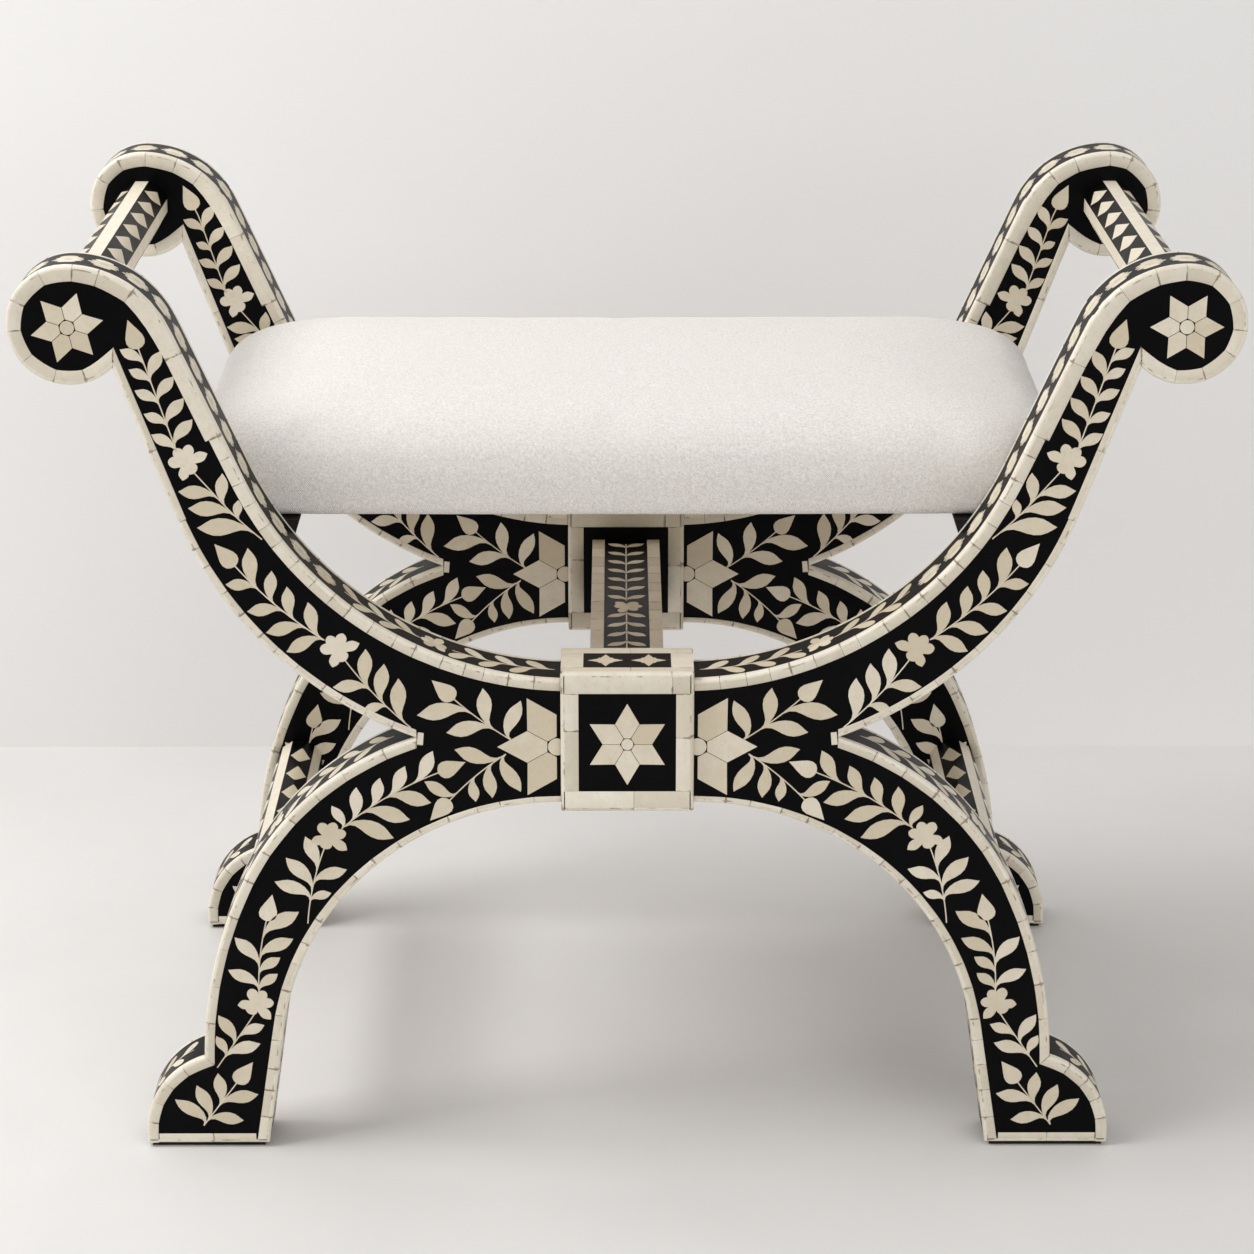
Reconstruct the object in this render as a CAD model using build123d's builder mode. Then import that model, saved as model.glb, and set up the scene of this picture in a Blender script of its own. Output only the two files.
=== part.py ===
from build123d import *
import os
from math import acos, asin, atan2, cos, degrees, hypot, radians, sin, sqrt, tan

# Curule stool: two flat X frames of black resin edged in bone, joined by a stretcher and four rails,
# with an upholstered seat between them. Millimetres, +X right, +Y to the back, +Z up.
# The origin is on the floor under the middle of the stool.

# The pair of frames
frame_spacing = 340
frame_thickness = 38
pad_thickness = 3

# Centre block, where the four curved members of a frame meet
block_width = 80
block_depth = 48
block_bottom = 228.5
block_top = 317
block_corner = 3.5

# Cradle: the round of the upper U on each side of the block
cradle_x = 33.7
cradle_low = 311
cradle_radius = 210

# Scroll at the top of each arm: how far its middle lies outside and above the cradle's middle round,
# and the shoulder that rolls into it
scroll_reach = 80.8
scroll_rise = 8
scroll_radius = 35.5
shoulder_radius = 64.5

# Back of the arm, which runs from the crotch up to the notch under the scroll: how much wider its round
# is than the cradle, and how far its middle is shifted out and down from the cradle's
back_widening = 26
back_shift = 11.6
back_drop = 25.6
back_turn = 70
crotch_x = 127

# Outside of the leg: knee, shin and ankle
knee_x = 69.4
knee_radius = 184
shin_radius = 289
shin_angle = 24.8
ankle_angle = 1.6

# Arch: the round of the lower inverted U
arch_crown = 232.4
arch_radius = 174.7
arch_turn = 81.6

# Foot, kicked out past the ankle
toe_reach = 38.1
toe_radius = 55
toe_flat = 6.8

# Bone rims let into both faces of a frame, along its edges
rim_wide = 8.5
rim_narrow = 5
rim_leg = 6
rim_depth = 4
scroll_rim_sides = 12
shoulder_rim_sides = 4
toe_rim_sides = 5

# Stretcher between the two blocks
stretcher_width = 46
stretcher_top = 295
stretcher_tenon = 26
stretcher_tenon_length = 24

# Round rails with twelve flats between the scrolls and between the legs
hand_rail_width = 32.5
rail_sides = 12
rail_tenon = 14
rail_tenon_length = 15
rail_strip_depth = 2
leg_rail_x = 231
leg_rail_z = 129
leg_rail_tilt = 12
leg_rail_width = 31

# Seat: two black bearers, a board and an upholstered pad
seat_z = 400
bearer_height = 24
bearer_inner_gap = 0.8
bearer_outer_gap = 1.4
bearer_slant = 7.5
bearer_tenon_width = 26
bearer_tenon_height = 12
bearer_tenon_length = 10
board_length = 500
board_depth = 272
board_thickness = 12
board_corner = 30
pad_length = 524
pad_height = 66
pad_corner = 48
pad_corner_sides = 8
pad_gap = 1
pad_roll = 50
pad_bow = 3

# Levels of the pad from its underside to its crown: the height as a share of the pad's height,
# then how far the outline is drawn in there as a share of the pad's roll
pad_level_shares = (
    (0, 0.06),
    (0.82, 0.01),
    (0.95, 0.3),
    (1, 1.5),
)

# Loose tenons that join the arms and legs to the blocks
loose_tenon_width = 26
loose_tenon_height = 10
loose_tenon_length = 40
fit_gap = 0.1
foot_pad_inset = 3

# Bone stars let into the outer faces
star_depth = 1.5
star_gap = 0.3
scroll_star = 21.5
left_star_turn = 12
block_star = 26
side_star = 36
side_star_shift = 2.4
side_star_z = 268.3
block_star_z = 271.7

# Bone casing of the centre block
casing_side = 10.7
casing_end = 13
casing_depth = 4
top_panel_length = 53
top_panel_width = 26

# Bone edging along the stretcher
edging_width = 8.5
edging_depth = 4

# Places that follow from the sizes above
block_half = block_width / 2
block_height = block_top - block_bottom
block_middle = (block_top + block_bottom) / 2
frame_inner = (frame_spacing - frame_thickness) / 2
frame_middle = frame_spacing / 2
cradle_z = cradle_low + cradle_radius
scroll_x = cradle_x + cradle_radius + scroll_reach
scroll_z = cradle_z + scroll_rise
back_x = cradle_x + back_shift
back_z = cradle_z - back_drop
back_radius = cradle_radius + back_widening
shoulder_z = scroll_z + scroll_radius - shoulder_radius
crotch_z = back_z - sqrt(back_radius**2 - (crotch_x - back_x) ** 2)
knee_z = crotch_z - sqrt(knee_radius**2 - (crotch_x - knee_x) ** 2)
shin_x = knee_x - (shin_radius - knee_radius) * cos(radians(shin_angle))
shin_z = knee_z - (shin_radius - knee_radius) * sin(radians(shin_angle))
arch_z = arch_crown - arch_radius
arch_end_x = block_half + arch_radius * sin(radians(arch_turn))
arch_end_z = arch_z + arch_radius * cos(radians(arch_turn))
foot_inner_x = arch_end_x + (arch_end_z - pad_thickness) / tan(radians(arch_turn))
ankle_x = shin_x + shin_radius * cos(radians(ankle_angle))
toe_x = ankle_x + toe_reach
toe_centre_x = toe_x - toe_radius
toe_centre_z = pad_thickness + toe_flat
arm_tenon_z = (crotch_z + cradle_low) / 2
leg_tenon_z = (crotch_z + arch_crown) / 2
stretcher_z = stretcher_top - stretcher_width / 2
bearer_z = seat_z - bearer_height / 2
arm_inner_x = cradle_x + sqrt(cradle_radius**2 - (cradle_z - bearer_z) ** 2)
arm_outer_x = back_x + sqrt(back_radius**2 - (back_z - bearer_z) ** 2)
bearer_inner_x = arm_inner_x + bearer_inner_gap
bearer_outer_x = arm_outer_x - bearer_outer_gap
bearer_middle_x = (bearer_inner_x + bearer_outer_x) / 2
side_star_x = block_half + side_star_shift

# Slope of the straight part of an arm, which is tangent to the cradle and to the shoulder
arm_run = scroll_x - cradle_x
arm_rise = shoulder_z - cradle_z
arm_reach = (cradle_radius + shoulder_radius) / hypot(arm_run, arm_rise)
arm_slope = degrees(atan2(arm_rise, arm_run) + asin(arm_reach))

# The two frames and the two sides, with the directions in which they lie from the middle
frames = {"front": 1, "rear": -1}
sides = {"left": -1, "right": 1}

os.makedirs("parts", exist_ok=True)


def write(name, piece):
    """Labels a finished piece and writes it as its own file."""
    piece.part.label = name
    export_step(piece.part, "parts/" + name + ".step")


def round_stretch(arc, sides=0):
    """A round stretch of an outline: the arc itself, or straight chords of it if sides are given.

    The short bone pieces round the scrolls and toes have straight inner edges, so those are chords,
    and the pad's corners are chords too, which keeps its rolled faces light."""
    if sides:
        Polyline([arc @ (step / sides) for step in range(sides + 1)])
    else:
        add(arc)


def arm_outline(wide=0, narrow=0):
    """Outline of the right arm, drawn in by wide at the cradle and scroll and by narrow at the back."""
    cradle_start = degrees(asin((block_half - cradle_x) / (cradle_radius + wide)))
    back_start = degrees(asin((crotch_x - narrow - back_x) / (back_radius - narrow)))
    with BuildSketch() as outline:
        with BuildLine():
            cradle = CenterArc(
                (cradle_x, cradle_z), cradle_radius + wide, cradle_start - 90, arm_slope - cradle_start
            )
            shoulder = CenterArc(
                (scroll_x, shoulder_z),
                shoulder_radius - wide,
                90 + arm_slope,
                -arm_slope,
                mode=Mode.PRIVATE,
            )
            round_stretch(shoulder, shoulder_rim_sides if wide else 0)
            Line(cradle @ 1, shoulder @ 0)
            Line(shoulder @ 1, (scroll_x, scroll_z))
            back = CenterArc(
                (back_x, back_z), back_radius - narrow, back_start - 90, back_turn - back_start
            )
            rise = scroll_z - (back @ 1).Y
            straight = PolarLine(back @ 1, rise, back_turn, length_mode=LengthMode.VERTICAL)
            Line(straight @ 1, (scroll_x, scroll_z))
            if narrow:
                Line(back @ 0, (crotch_x - narrow, crotch_z))
            Polyline((crotch_x - narrow, crotch_z), (block_half, crotch_z), cradle @ 0)
        make_face()
        with Locations((scroll_x, scroll_z)):
            if wide:
                RegularPolygon(scroll_radius - wide, scroll_rim_sides)
            else:
                Circle(scroll_radius)
    return outline.sketch


def leg_outline(inset=0):
    """Outline of the right leg and its foot, drawn in from every outer edge by inset."""
    knee_start = degrees(acos((crotch_x - inset - knee_x) / (knee_radius - inset)))
    floor = pad_thickness + inset
    with BuildSketch() as outline:
        with BuildLine():
            knee = CenterArc(
                (knee_x, knee_z), knee_radius - inset, knee_start, shin_angle - knee_start
            )
            shin = CenterArc(
                (shin_x, shin_z), shin_radius - inset, shin_angle, ankle_angle - shin_angle
            )
            arch = CenterArc((block_half, arch_z), arch_radius + inset, 90, -arch_turn)
            drop = (arch @ 1).Y - floor
            post = PolarLine(arch @ 1, drop, -arch_turn, length_mode=LengthMode.VERTICAL)
            Polyline(shin @ 1, ((shin @ 1).X, floor), post @ 1)
            Polyline(arch @ 0, (block_half, crotch_z), (crotch_x - inset, crotch_z))
            if inset:
                Line((crotch_x - inset, crotch_z), knee @ 0)
        make_face()
        with BuildLine():
            toe = CenterArc(
                (toe_centre_x, toe_centre_z), toe_radius - inset, 0, 90, mode=Mode.PRIVATE
            )
            round_stretch(toe, toe_rim_sides if inset else 0)
            Polyline(toe @ 1, (toe_centre_x, floor), (toe_x - inset, floor), toe @ 0)
        make_face()
    return outline.sketch


def star_pieces(radius, turn, gap=0):
    """A six-pointed star of rhombic petals that meet at its middle, with gap left open between them."""
    half = radius / sqrt(3)
    half_x = half * cos(radians(30))
    half_y = half * sin(radians(30))
    with BuildSketch() as petal:
        with BuildLine():
            Polyline((0, 0), (half_x, half_y), (radius, 0), (half_x, -half_y), close=True)
        make_face()
        if gap:
            offset(amount=-gap / 2, kind=Kind.INTERSECTION)
    with BuildSketch() as star:
        with PolarLocations(0, 6, start_angle=turn):
            add(petal.sketch)
    return star.sketch


def side_star_pieces(side, gap=0):
    """The part of a star that shows beside the block, cut off by the block's side."""
    with BuildSketch() as star:
        with Locations((side * side_star_x, side_star_z)):
            add(star_pieces(side_star, 0, gap))
        with Locations((0, side_star_z)):
            Rectangle(block_width, side_star * 2, mode=Mode.SUBTRACT)
    return star.sketch


def scroll_star_pieces(side, gap=0):
    """The star on the face of a scroll. The left one is set a little turned."""
    turn = left_star_turn if side < 0 else 0
    with BuildSketch() as star:
        with Locations((side * scroll_x, scroll_z)):
            add(star_pieces(scroll_star, turn, gap))
    return star.sketch


def rail_section(width, turn):
    """Twelve-sided section of a rail, with a flat facing the angle given by turn."""
    with BuildSketch() as section:
        RegularPolygon(width / 2, rail_sides, major_radius=False, rotation=turn + 180 / rail_sides)
    return section.sketch


def rail_strip_sections(width, turn):
    """Sections of the four bone strips let into every third flat of a rail."""
    flat = width * tan(radians(180 / rail_sides))
    with BuildSketch() as strips:
        with PolarLocations(width / 2 - rail_strip_depth / 2, 4, start_angle=turn):
            Rectangle(rail_strip_depth, flat)
    return strips.sketch


# Outlines of the members, full size and drawn in to the black panel inside the rims
outlines = {
    ("right", "arm"): (arm_outline(), arm_outline(rim_wide, rim_narrow)),
    ("right", "leg"): (leg_outline(), leg_outline(rim_leg)),
}
for limb in ("arm", "leg"):
    full, panel = outlines["right", limb]
    outlines["left", limb] = (full.mirror(Plane.YZ), panel.mirror(Plane.YZ))

# The eight curved members: two arms and two legs in each frame, rebated on both faces for their rims
for frame, toward in frames.items():
    middle = toward * frame_middle
    outer_plane = Plane.XZ.offset(middle + toward * frame_thickness / 2)
    inner_plane = Plane.XZ.offset(toward * frame_inner)
    for (side_name, limb), (full, panel) in outlines.items():
        side = sides[side_name]
        with BuildPart() as member:
            with BuildSketch(Plane.XZ.offset(middle)):
                add(full)
            extrude(amount=frame_thickness / 2, both=True)
            for plane, inward in ((outer_plane, -toward), (inner_plane, toward)):
                with BuildSketch(plane):
                    add(full)
                    add(panel, mode=Mode.SUBTRACT)
                extrude(amount=inward * rim_depth, mode=Mode.SUBTRACT)
            # Mortise for the loose tenon that joins the member to the block
            with BuildSketch(Plane.YZ.offset(side * block_half)):
                with Locations((-middle, arm_tenon_z if limb == "arm" else leg_tenon_z)):
                    Rectangle(loose_tenon_width + 2 * fit_gap, loose_tenon_height + 2 * fit_gap)
            extrude(amount=side * (loose_tenon_length / 2 + fit_gap), mode=Mode.SUBTRACT)
            # Socket for the rail that ends in this member
            with BuildSketch(inner_plane):
                with Locations(
                    (side * scroll_x, scroll_z) if limb == "arm" else (side * leg_rail_x, leg_rail_z)
                ):
                    Rectangle(rail_tenon + 2 * fit_gap, rail_tenon + 2 * fit_gap)
            extrude(amount=toward * (rail_tenon_length + fit_gap), mode=Mode.SUBTRACT)
            # Shallow recesses for the stars on the outer face
            with BuildSketch(outer_plane):
                add(side_star_pieces(side))
                if limb == "arm":
                    add(scroll_star_pieces(side))
            extrude(amount=-toward * star_depth, mode=Mode.SUBTRACT)
            if limb == "arm":
                with BuildSketch(inner_plane):
                    with Locations((side * bearer_middle_x, bearer_z)):
                        Rectangle(bearer_tenon_width + 2 * fit_gap, bearer_tenon_height + 2 * fit_gap)
                extrude(amount=toward * (bearer_tenon_length + fit_gap), mode=Mode.SUBTRACT)
        write(frame + "_" + side_name + "_" + limb, member)

# Bone rims: the strips that edge one face of a frame, let in flush with the face and the edges
for frame, toward in frames.items():
    middle = toward * frame_middle
    for face_name, face in (("outer", toward), ("inner", -toward)):
        with BuildPart() as rim:
            for full, panel in outlines.values():
                with BuildSketch(Plane.XZ.offset(middle + face * frame_thickness / 2)):
                    add(full)
                    add(panel, mode=Mode.SUBTRACT)
                extrude(amount=-face * rim_depth)
        write(frame + "_frame_" + face_name + "_rim", rim)

# Bone stars, flush in the recesses of the arms, legs and blocks
for frame, toward in frames.items():
    outer_plane = Plane.XZ.offset(toward * (frame_middle + frame_thickness / 2))
    with BuildPart() as scroll_stars:
        with BuildSketch(outer_plane):
            for side in sides.values():
                add(scroll_star_pieces(side, star_gap))
        extrude(amount=-toward * star_depth)
    write(frame + "_scroll_stars", scroll_stars)
    with BuildPart() as side_stars:
        with BuildSketch(outer_plane):
            for side in sides.values():
                add(side_star_pieces(side, star_gap))
        extrude(amount=-toward * star_depth)
    write(frame + "_side_stars", side_stars)
    with BuildPart() as block_star_piece:
        with BuildSketch(Plane.XZ.offset(toward * (frame_middle + block_depth / 2))):
            with Locations((0, block_star_z)):
                add(star_pieces(block_star, 90, star_gap))
        extrude(amount=-toward * star_depth)
    write(frame + "_block_star", block_star_piece)

# Centre blocks: a black core in a bone casing that is open as a panel in front, behind and on top
for frame, toward in frames.items():
    middle = toward * frame_middle
    with BuildPart() as blank:
        with BuildSketch(Plane.XZ.offset(middle)):
            with Locations((0, block_middle)):
                RectangleRounded(block_width, block_height, block_corner)
        extrude(amount=block_depth / 2, both=True)
    with BuildPart() as casing:
        add(blank.part)
        with BuildSketch(Plane.YZ) as hollow:
            with Locations((-middle, block_middle - casing_depth)):
                Rectangle(block_depth - 2 * casing_depth, block_height)
        extrude(amount=block_width, both=True, mode=Mode.SUBTRACT)
        with BuildSketch(Plane.XZ.offset(middle)) as side_panels:
            with Locations((0, block_middle)):
                Rectangle(block_width - 2 * casing_side, block_height - 2 * casing_end)
        extrude(amount=block_depth, both=True, mode=Mode.SUBTRACT)
        with BuildSketch(Plane.XY.offset(block_top)) as top_panel:
            with Locations((0, -middle)):
                Rectangle(top_panel_length, top_panel_width)
        extrude(amount=-casing_depth, mode=Mode.SUBTRACT)
    write(frame + "_block_casing", casing)
    with BuildPart() as block:
        add(blank.part)
        add(casing.part, mode=Mode.SUBTRACT)
        for side in sides.values():
            with BuildSketch(Plane.YZ.offset(side * block_half)):
                with Locations((-middle, arm_tenon_z), (-middle, leg_tenon_z)):
                    Rectangle(loose_tenon_width + 2 * fit_gap, loose_tenon_height + 2 * fit_gap)
            extrude(amount=-side * (loose_tenon_length / 2 + fit_gap), mode=Mode.SUBTRACT)
        with BuildSketch(Plane.XZ.offset(middle - toward * block_depth / 2)):
            with Locations((0, stretcher_z)):
                Rectangle(stretcher_tenon + 2 * fit_gap, stretcher_tenon + 2 * fit_gap)
        extrude(amount=toward * (stretcher_tenon_length + fit_gap), mode=Mode.SUBTRACT)
        with BuildSketch(Plane.XZ.offset(middle + toward * block_depth / 2)):
            with Locations((0, block_star_z)):
                add(star_pieces(block_star, 90))
        extrude(amount=-toward * star_depth, mode=Mode.SUBTRACT)
    write(frame + "_block", block)

# Centre stretcher, with a tenon at each end and four bone strips along its corners
stretcher_reach = frame_middle - block_depth / 2
with BuildSketch() as edging_sections:
    with Locations((0, stretcher_z)):
        with GridLocations(stretcher_width - edging_width, stretcher_width - edging_depth, 2, 2):
            Rectangle(edging_width, edging_depth)
with BuildPart() as edging:
    with BuildSketch(Plane.XZ):
        add(edging_sections.sketch)
    extrude(amount=stretcher_reach, both=True)
write("stretcher_edging", edging)

with BuildPart() as stretcher:
    with BuildSketch(Plane.XZ):
        with Locations((0, stretcher_z)):
            Rectangle(stretcher_width, stretcher_width)
        add(edging_sections.sketch, mode=Mode.SUBTRACT)
    extrude(amount=stretcher_reach, both=True)
    with BuildSketch(Plane.XZ):
        with Locations((0, stretcher_z)):
            Rectangle(stretcher_tenon, stretcher_tenon)
    extrude(amount=stretcher_reach + stretcher_tenon_length, both=True)
write("centre_stretcher", stretcher)

# Rails: hand rails between the scrolls, leg rails low between the legs
for side_name, side in sides.items():
    places = {
        "hand_rail": (side * scroll_x, scroll_z, hand_rail_width, 0),
        "leg_rail": (side * leg_rail_x, leg_rail_z, leg_rail_width, 45 + side * leg_rail_tilt),
    }
    for rail_name, (rail_x, rail_z, rail_width, turn) in places.items():
        with BuildPart() as strips:
            with BuildSketch(Plane.XZ):
                with Locations((rail_x, rail_z)):
                    add(rail_strip_sections(rail_width, turn))
            extrude(amount=frame_inner, both=True)
        write(side_name + "_" + rail_name + "_strips", strips)
        with BuildPart() as rail:
            with BuildSketch(Plane.XZ):
                with Locations((rail_x, rail_z)):
                    add(rail_section(rail_width, turn))
                    add(rail_strip_sections(rail_width, turn), mode=Mode.SUBTRACT)
            extrude(amount=frame_inner, both=True)
            with BuildSketch(Plane.XZ):
                with Locations((rail_x, rail_z)):
                    Rectangle(rail_tenon, rail_tenon)
            extrude(amount=frame_inner + rail_tenon_length, both=True)
        write(side_name + "_" + rail_name, rail)

# Seat bearers, tenoned into the arms
for side_name, side in sides.items():
    with BuildPart() as bearer:
        with BuildSketch(Plane.XZ):
            with BuildLine():
                Polyline(
                    (side * bearer_inner_x, seat_z),
                    (side * bearer_outer_x, seat_z),
                    (side * (bearer_outer_x - bearer_slant), seat_z - bearer_height),
                    (side * (bearer_inner_x + bearer_slant), seat_z - bearer_height),
                    close=True,
                )
            make_face()
        extrude(amount=frame_inner, both=True)
        with BuildSketch(Plane.XZ):
            with Locations((side * bearer_middle_x, bearer_z)):
                Rectangle(bearer_tenon_width, bearer_tenon_height)
        extrude(amount=frame_inner + bearer_tenon_length, both=True)
    write(side_name + "_seat_bearer", bearer)

# Seat board with clipped corners, flush with the underside of the pad
with BuildSketch(Plane.XY.offset(seat_z)) as board_outline:
    Rectangle(board_length, board_depth)
    chamfer(board_outline.vertices(), length=board_corner)
with BuildPart() as board:
    add(board_outline.sketch)
    extrude(amount=board_thickness)
write("seat_board", board)


def pad_outline(draw):
    """Plan of the pad at one level, drawn in all round by draw, with gently bowed ends."""
    level_share = 1 - draw / (frame_inner - pad_gap)
    corner = pad_corner * level_share
    bow = pad_bow * level_share
    half_x = pad_length / 2 - draw - bow
    half_y = frame_inner - pad_gap - draw
    flat_x = half_x - corner
    flat_y = half_y - corner
    with BuildSketch() as outline:
        with BuildLine():
            for quarter, (x, y) in enumerate(((1, 1), (-1, 1), (-1, -1), (1, -1))):
                round_stretch(
                    CenterArc(
                        (x * flat_x, y * flat_y), corner, 90 * quarter, 90, mode=Mode.PRIVATE
                    ),
                    pad_corner_sides,
                )
            for end in (1, -1):
                Line((flat_x, end * half_y), (-flat_x, end * half_y))
                SagittaArc((end * half_x, -end * flat_y), (end * half_x, end * flat_y), -bow)
        make_face()
    return outline.sketch


# Upholstered pad: a crowned form with drawn-in sides, hollowed below for the board
with BuildPart() as pad:
    for height_share, draw_share in pad_level_shares:
        with BuildSketch(Plane.XY.offset(seat_z + pad_height * height_share)):
            add(pad_outline(pad_roll * draw_share))
    loft(ruled=True)
    with BuildSketch(Plane.XY.offset(seat_z)):
        offset(board_outline.sketch, amount=fit_gap, kind=Kind.INTERSECTION)
    extrude(amount=board_thickness + fit_gap, mode=Mode.SUBTRACT)
write("seat_cushion", pad)

# Loose tenons that join the arms and legs to the blocks
with BuildPart() as tenons:
    for side in sides.values():
        with BuildSketch(Plane.YZ.offset(side * block_half)):
            for middle in (-frame_middle, frame_middle):
                with Locations((middle, arm_tenon_z), (middle, leg_tenon_z)):
                    Rectangle(loose_tenon_width, loose_tenon_height)
        extrude(amount=loose_tenon_length / 2, both=True)
write("loose_tenons", tenons)

# Thin black pads under the four feet
foot_length = toe_x - foot_inner_x
with BuildPart() as foot_pads:
    with BuildSketch():
        for side in sides.values():
            with Locations((side * (foot_inner_x + foot_length / 2), 0)):
                with GridLocations(0, frame_spacing, 1, 2):
                    Rectangle(foot_length - 2 * foot_pad_inset, frame_thickness - 2 * foot_pad_inset)
    extrude(amount=pad_thickness)
write("foot_pads", foot_pads)
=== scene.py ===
# %% [markdown]
# # A curule stool of black resin, edged and inlaid with bone
# The stool has two flat X frames. Every edge of them is faced with short pieces of bone, and bone
# leaves, flowers and stars are let into the black resin of every face. A linen seat rests between
# the frames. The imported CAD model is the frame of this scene: pieces are made around it and stay in
# its space.

import math

import bpy
import numpy as np
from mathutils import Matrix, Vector


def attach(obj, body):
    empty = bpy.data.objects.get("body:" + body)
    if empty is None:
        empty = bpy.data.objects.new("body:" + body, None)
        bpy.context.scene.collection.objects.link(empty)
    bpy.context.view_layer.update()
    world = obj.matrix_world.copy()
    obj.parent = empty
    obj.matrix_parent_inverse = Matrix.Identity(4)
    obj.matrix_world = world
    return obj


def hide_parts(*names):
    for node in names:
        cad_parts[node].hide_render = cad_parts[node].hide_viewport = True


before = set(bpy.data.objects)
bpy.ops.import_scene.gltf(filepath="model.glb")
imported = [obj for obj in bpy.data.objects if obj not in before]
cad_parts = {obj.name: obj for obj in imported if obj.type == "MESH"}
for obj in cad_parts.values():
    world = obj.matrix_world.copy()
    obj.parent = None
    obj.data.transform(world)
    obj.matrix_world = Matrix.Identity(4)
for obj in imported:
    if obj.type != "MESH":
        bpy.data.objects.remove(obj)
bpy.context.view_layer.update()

# %% [markdown]
# ## Sizes
# The sizes repeat the driving dimensions of the CAD source, in metres, because a scene that knows
# the radius of the scroll can lay bone round it. The right half is described, and the left half
# mirrors it.

# %% Sizes of the frames
mm = 0.001
half_spacing = 170 * mm
half_thick = 19 * mm
block_half = 40 * mm
floor_pad = 3 * mm
scroll = np.array((324.5, 529)) * mm
scroll_radius = 35.5 * mm
shoulder_radius = 64.5 * mm
cradle = np.array((33.7, 521)) * mm
cradle_radius = 210 * mm
back = np.array((45.3, 495.4)) * mm
back_radius = 236 * mm
back_turn = 70
crotch_x = 127 * mm
knee_x = 69.4 * mm
knee_radius = 184 * mm
shin_radius = 289 * mm
shin_angle = 24.8
ankle_angle = 1.6
arch_crown = 232.4 * mm
arch_radius = 174.7 * mm
arch_turn = 81.6
toe_reach = 38.1 * mm
toe_radius = 55 * mm
toe_flat = 6.8 * mm

# %% Places that follow from the sizes
shoulder = scroll + (0, scroll_radius - shoulder_radius)
arm_run, arm_rise = shoulder - cradle
arm_slope = math.degrees(
    math.atan2(arm_rise, arm_run)
    + math.asin((cradle_radius + shoulder_radius) / math.hypot(arm_run, arm_rise))
)
crotch = np.array((crotch_x, back[1] - math.sqrt(back_radius**2 - (crotch_x - back[0]) ** 2)))
knee = np.array((knee_x, crotch[1] - math.sqrt(knee_radius**2 - (crotch_x - knee_x) ** 2)))
shin_turn = math.radians(shin_angle)
shin = knee - (shin_radius - knee_radius) * np.array((math.cos(shin_turn), math.sin(shin_turn)))
arch = np.array((block_half, arch_crown - arch_radius))
ankle_x = shin[0] + shin_radius * math.cos(math.radians(ankle_angle))
toe = np.array((ankle_x + toe_reach - toe_radius, floor_pad + toe_flat))
print("arm slope", round(arm_slope, 2), "degrees, crotch at", crotch.round(4))

# %% [markdown]
# ## Lines along the edges
# Each edge of a frame is one line in its plane: points, how far each lies along the line, and its
# heading. All lines run clockwise round the right half, so the wood is always on the right of the
# heading.

# %% Lines and places on them
def unit(vectors):
    """A vector, or each of many, made one long."""
    return vectors / np.linalg.norm(vectors, axis=-1, keepdims=True)


def arc(centre, radius, start, turn):
    """Points of a round stretch: centre + radius * (cos a, sin a), about every two millimetres."""
    steps = 2 + int(abs(math.radians(turn)) * radius / (2 * mm))
    angle = np.radians(np.linspace(start, start + turn, steps))
    return np.stack((centre[0] + radius * np.cos(angle), centre[1] + radius * np.sin(angle)), -1)


def straight(start, end):
    """Points of a straight stretch, about every two millimetres."""
    steps = 2 + int(math.dist(start, end) / (2 * mm))
    return np.linspace(start, end, steps)


def line(*stretches):
    """One line from several stretches that meet: its points, runs and headings. A point is left out
    where it lies within a hundredth of a millimetre of the one before."""
    points = np.concatenate(stretches)
    points = points[np.r_[True, np.linalg.norm(np.diff(points, axis=0), axis=1) > 0.01 * mm]]
    run = np.r_[0, np.cumsum(np.linalg.norm(np.diff(points, axis=0), axis=1))]
    heading = unit(np.gradient(points, run, axis=0))
    return {"points": points, "run": run, "heading": heading, "length": run[-1]}


def at(path, run, depth):
    """The place at a run along a line and a depth to the right of it: point + depth * (hz, -hx)."""
    over = run - np.clip(run, 0, path["length"])
    columns = (*path["points"].T, *path["heading"].T)
    x, z, hx, hz = (np.interp(run, path["run"], column) for column in columns)
    return np.stack((x + over * hx + depth * hz, z + over * hz - depth * hx), -1)


# %% The edges of the right half
cradle_start = math.degrees(math.asin((block_half - cradle[0]) / cradle_radius)) - 90
cradle_arc = arc(cradle, cradle_radius, cradle_start, arm_slope - 90 - cradle_start)
shoulder_arc = arc(shoulder, shoulder_radius, 90 + arm_slope, -arm_slope)
# The back of an arm is straight from the top of its arc up to the notch, where it meets the scroll
back_lean = np.array((math.cos(math.radians(back_turn)), math.sin(math.radians(back_turn))))
back_top = back + back_radius * np.array((back_lean[1], -back_lean[0]))
to_scroll = scroll - back_top
along = to_scroll @ back_lean
off_line = to_scroll[0] * back_lean[1] - to_scroll[1] * back_lean[0]
notch = back_top + back_lean * (along - math.sqrt(scroll_radius**2 - off_line**2))
notch_angle = math.degrees(math.atan2(*(notch - scroll)[::-1]))
back_end = math.degrees(math.asin((crotch_x - back[0]) / back_radius)) - 90
knee_start = math.degrees(math.acos((crotch_x - knee_x) / knee_radius))
ankle = np.array((ankle_x, toe[1] + math.sqrt(toe_radius**2 - (ankle_x - toe[0]) ** 2)))
ankle_on_toe = math.degrees(math.atan2(*(ankle - toe)[::-1]))
toe_end = np.array((toe[0] + toe_radius, floor_pad))
arch_arc = arc(arch, arch_radius, 90 - arch_turn, arch_turn)
arch_foot = arch_arc[0]
heel_lean = math.tan(math.radians(90 - arch_turn))
heel = np.array((arch_foot[0] + (arch_foot[1] - floor_pad) * heel_lean, floor_pad))

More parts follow.
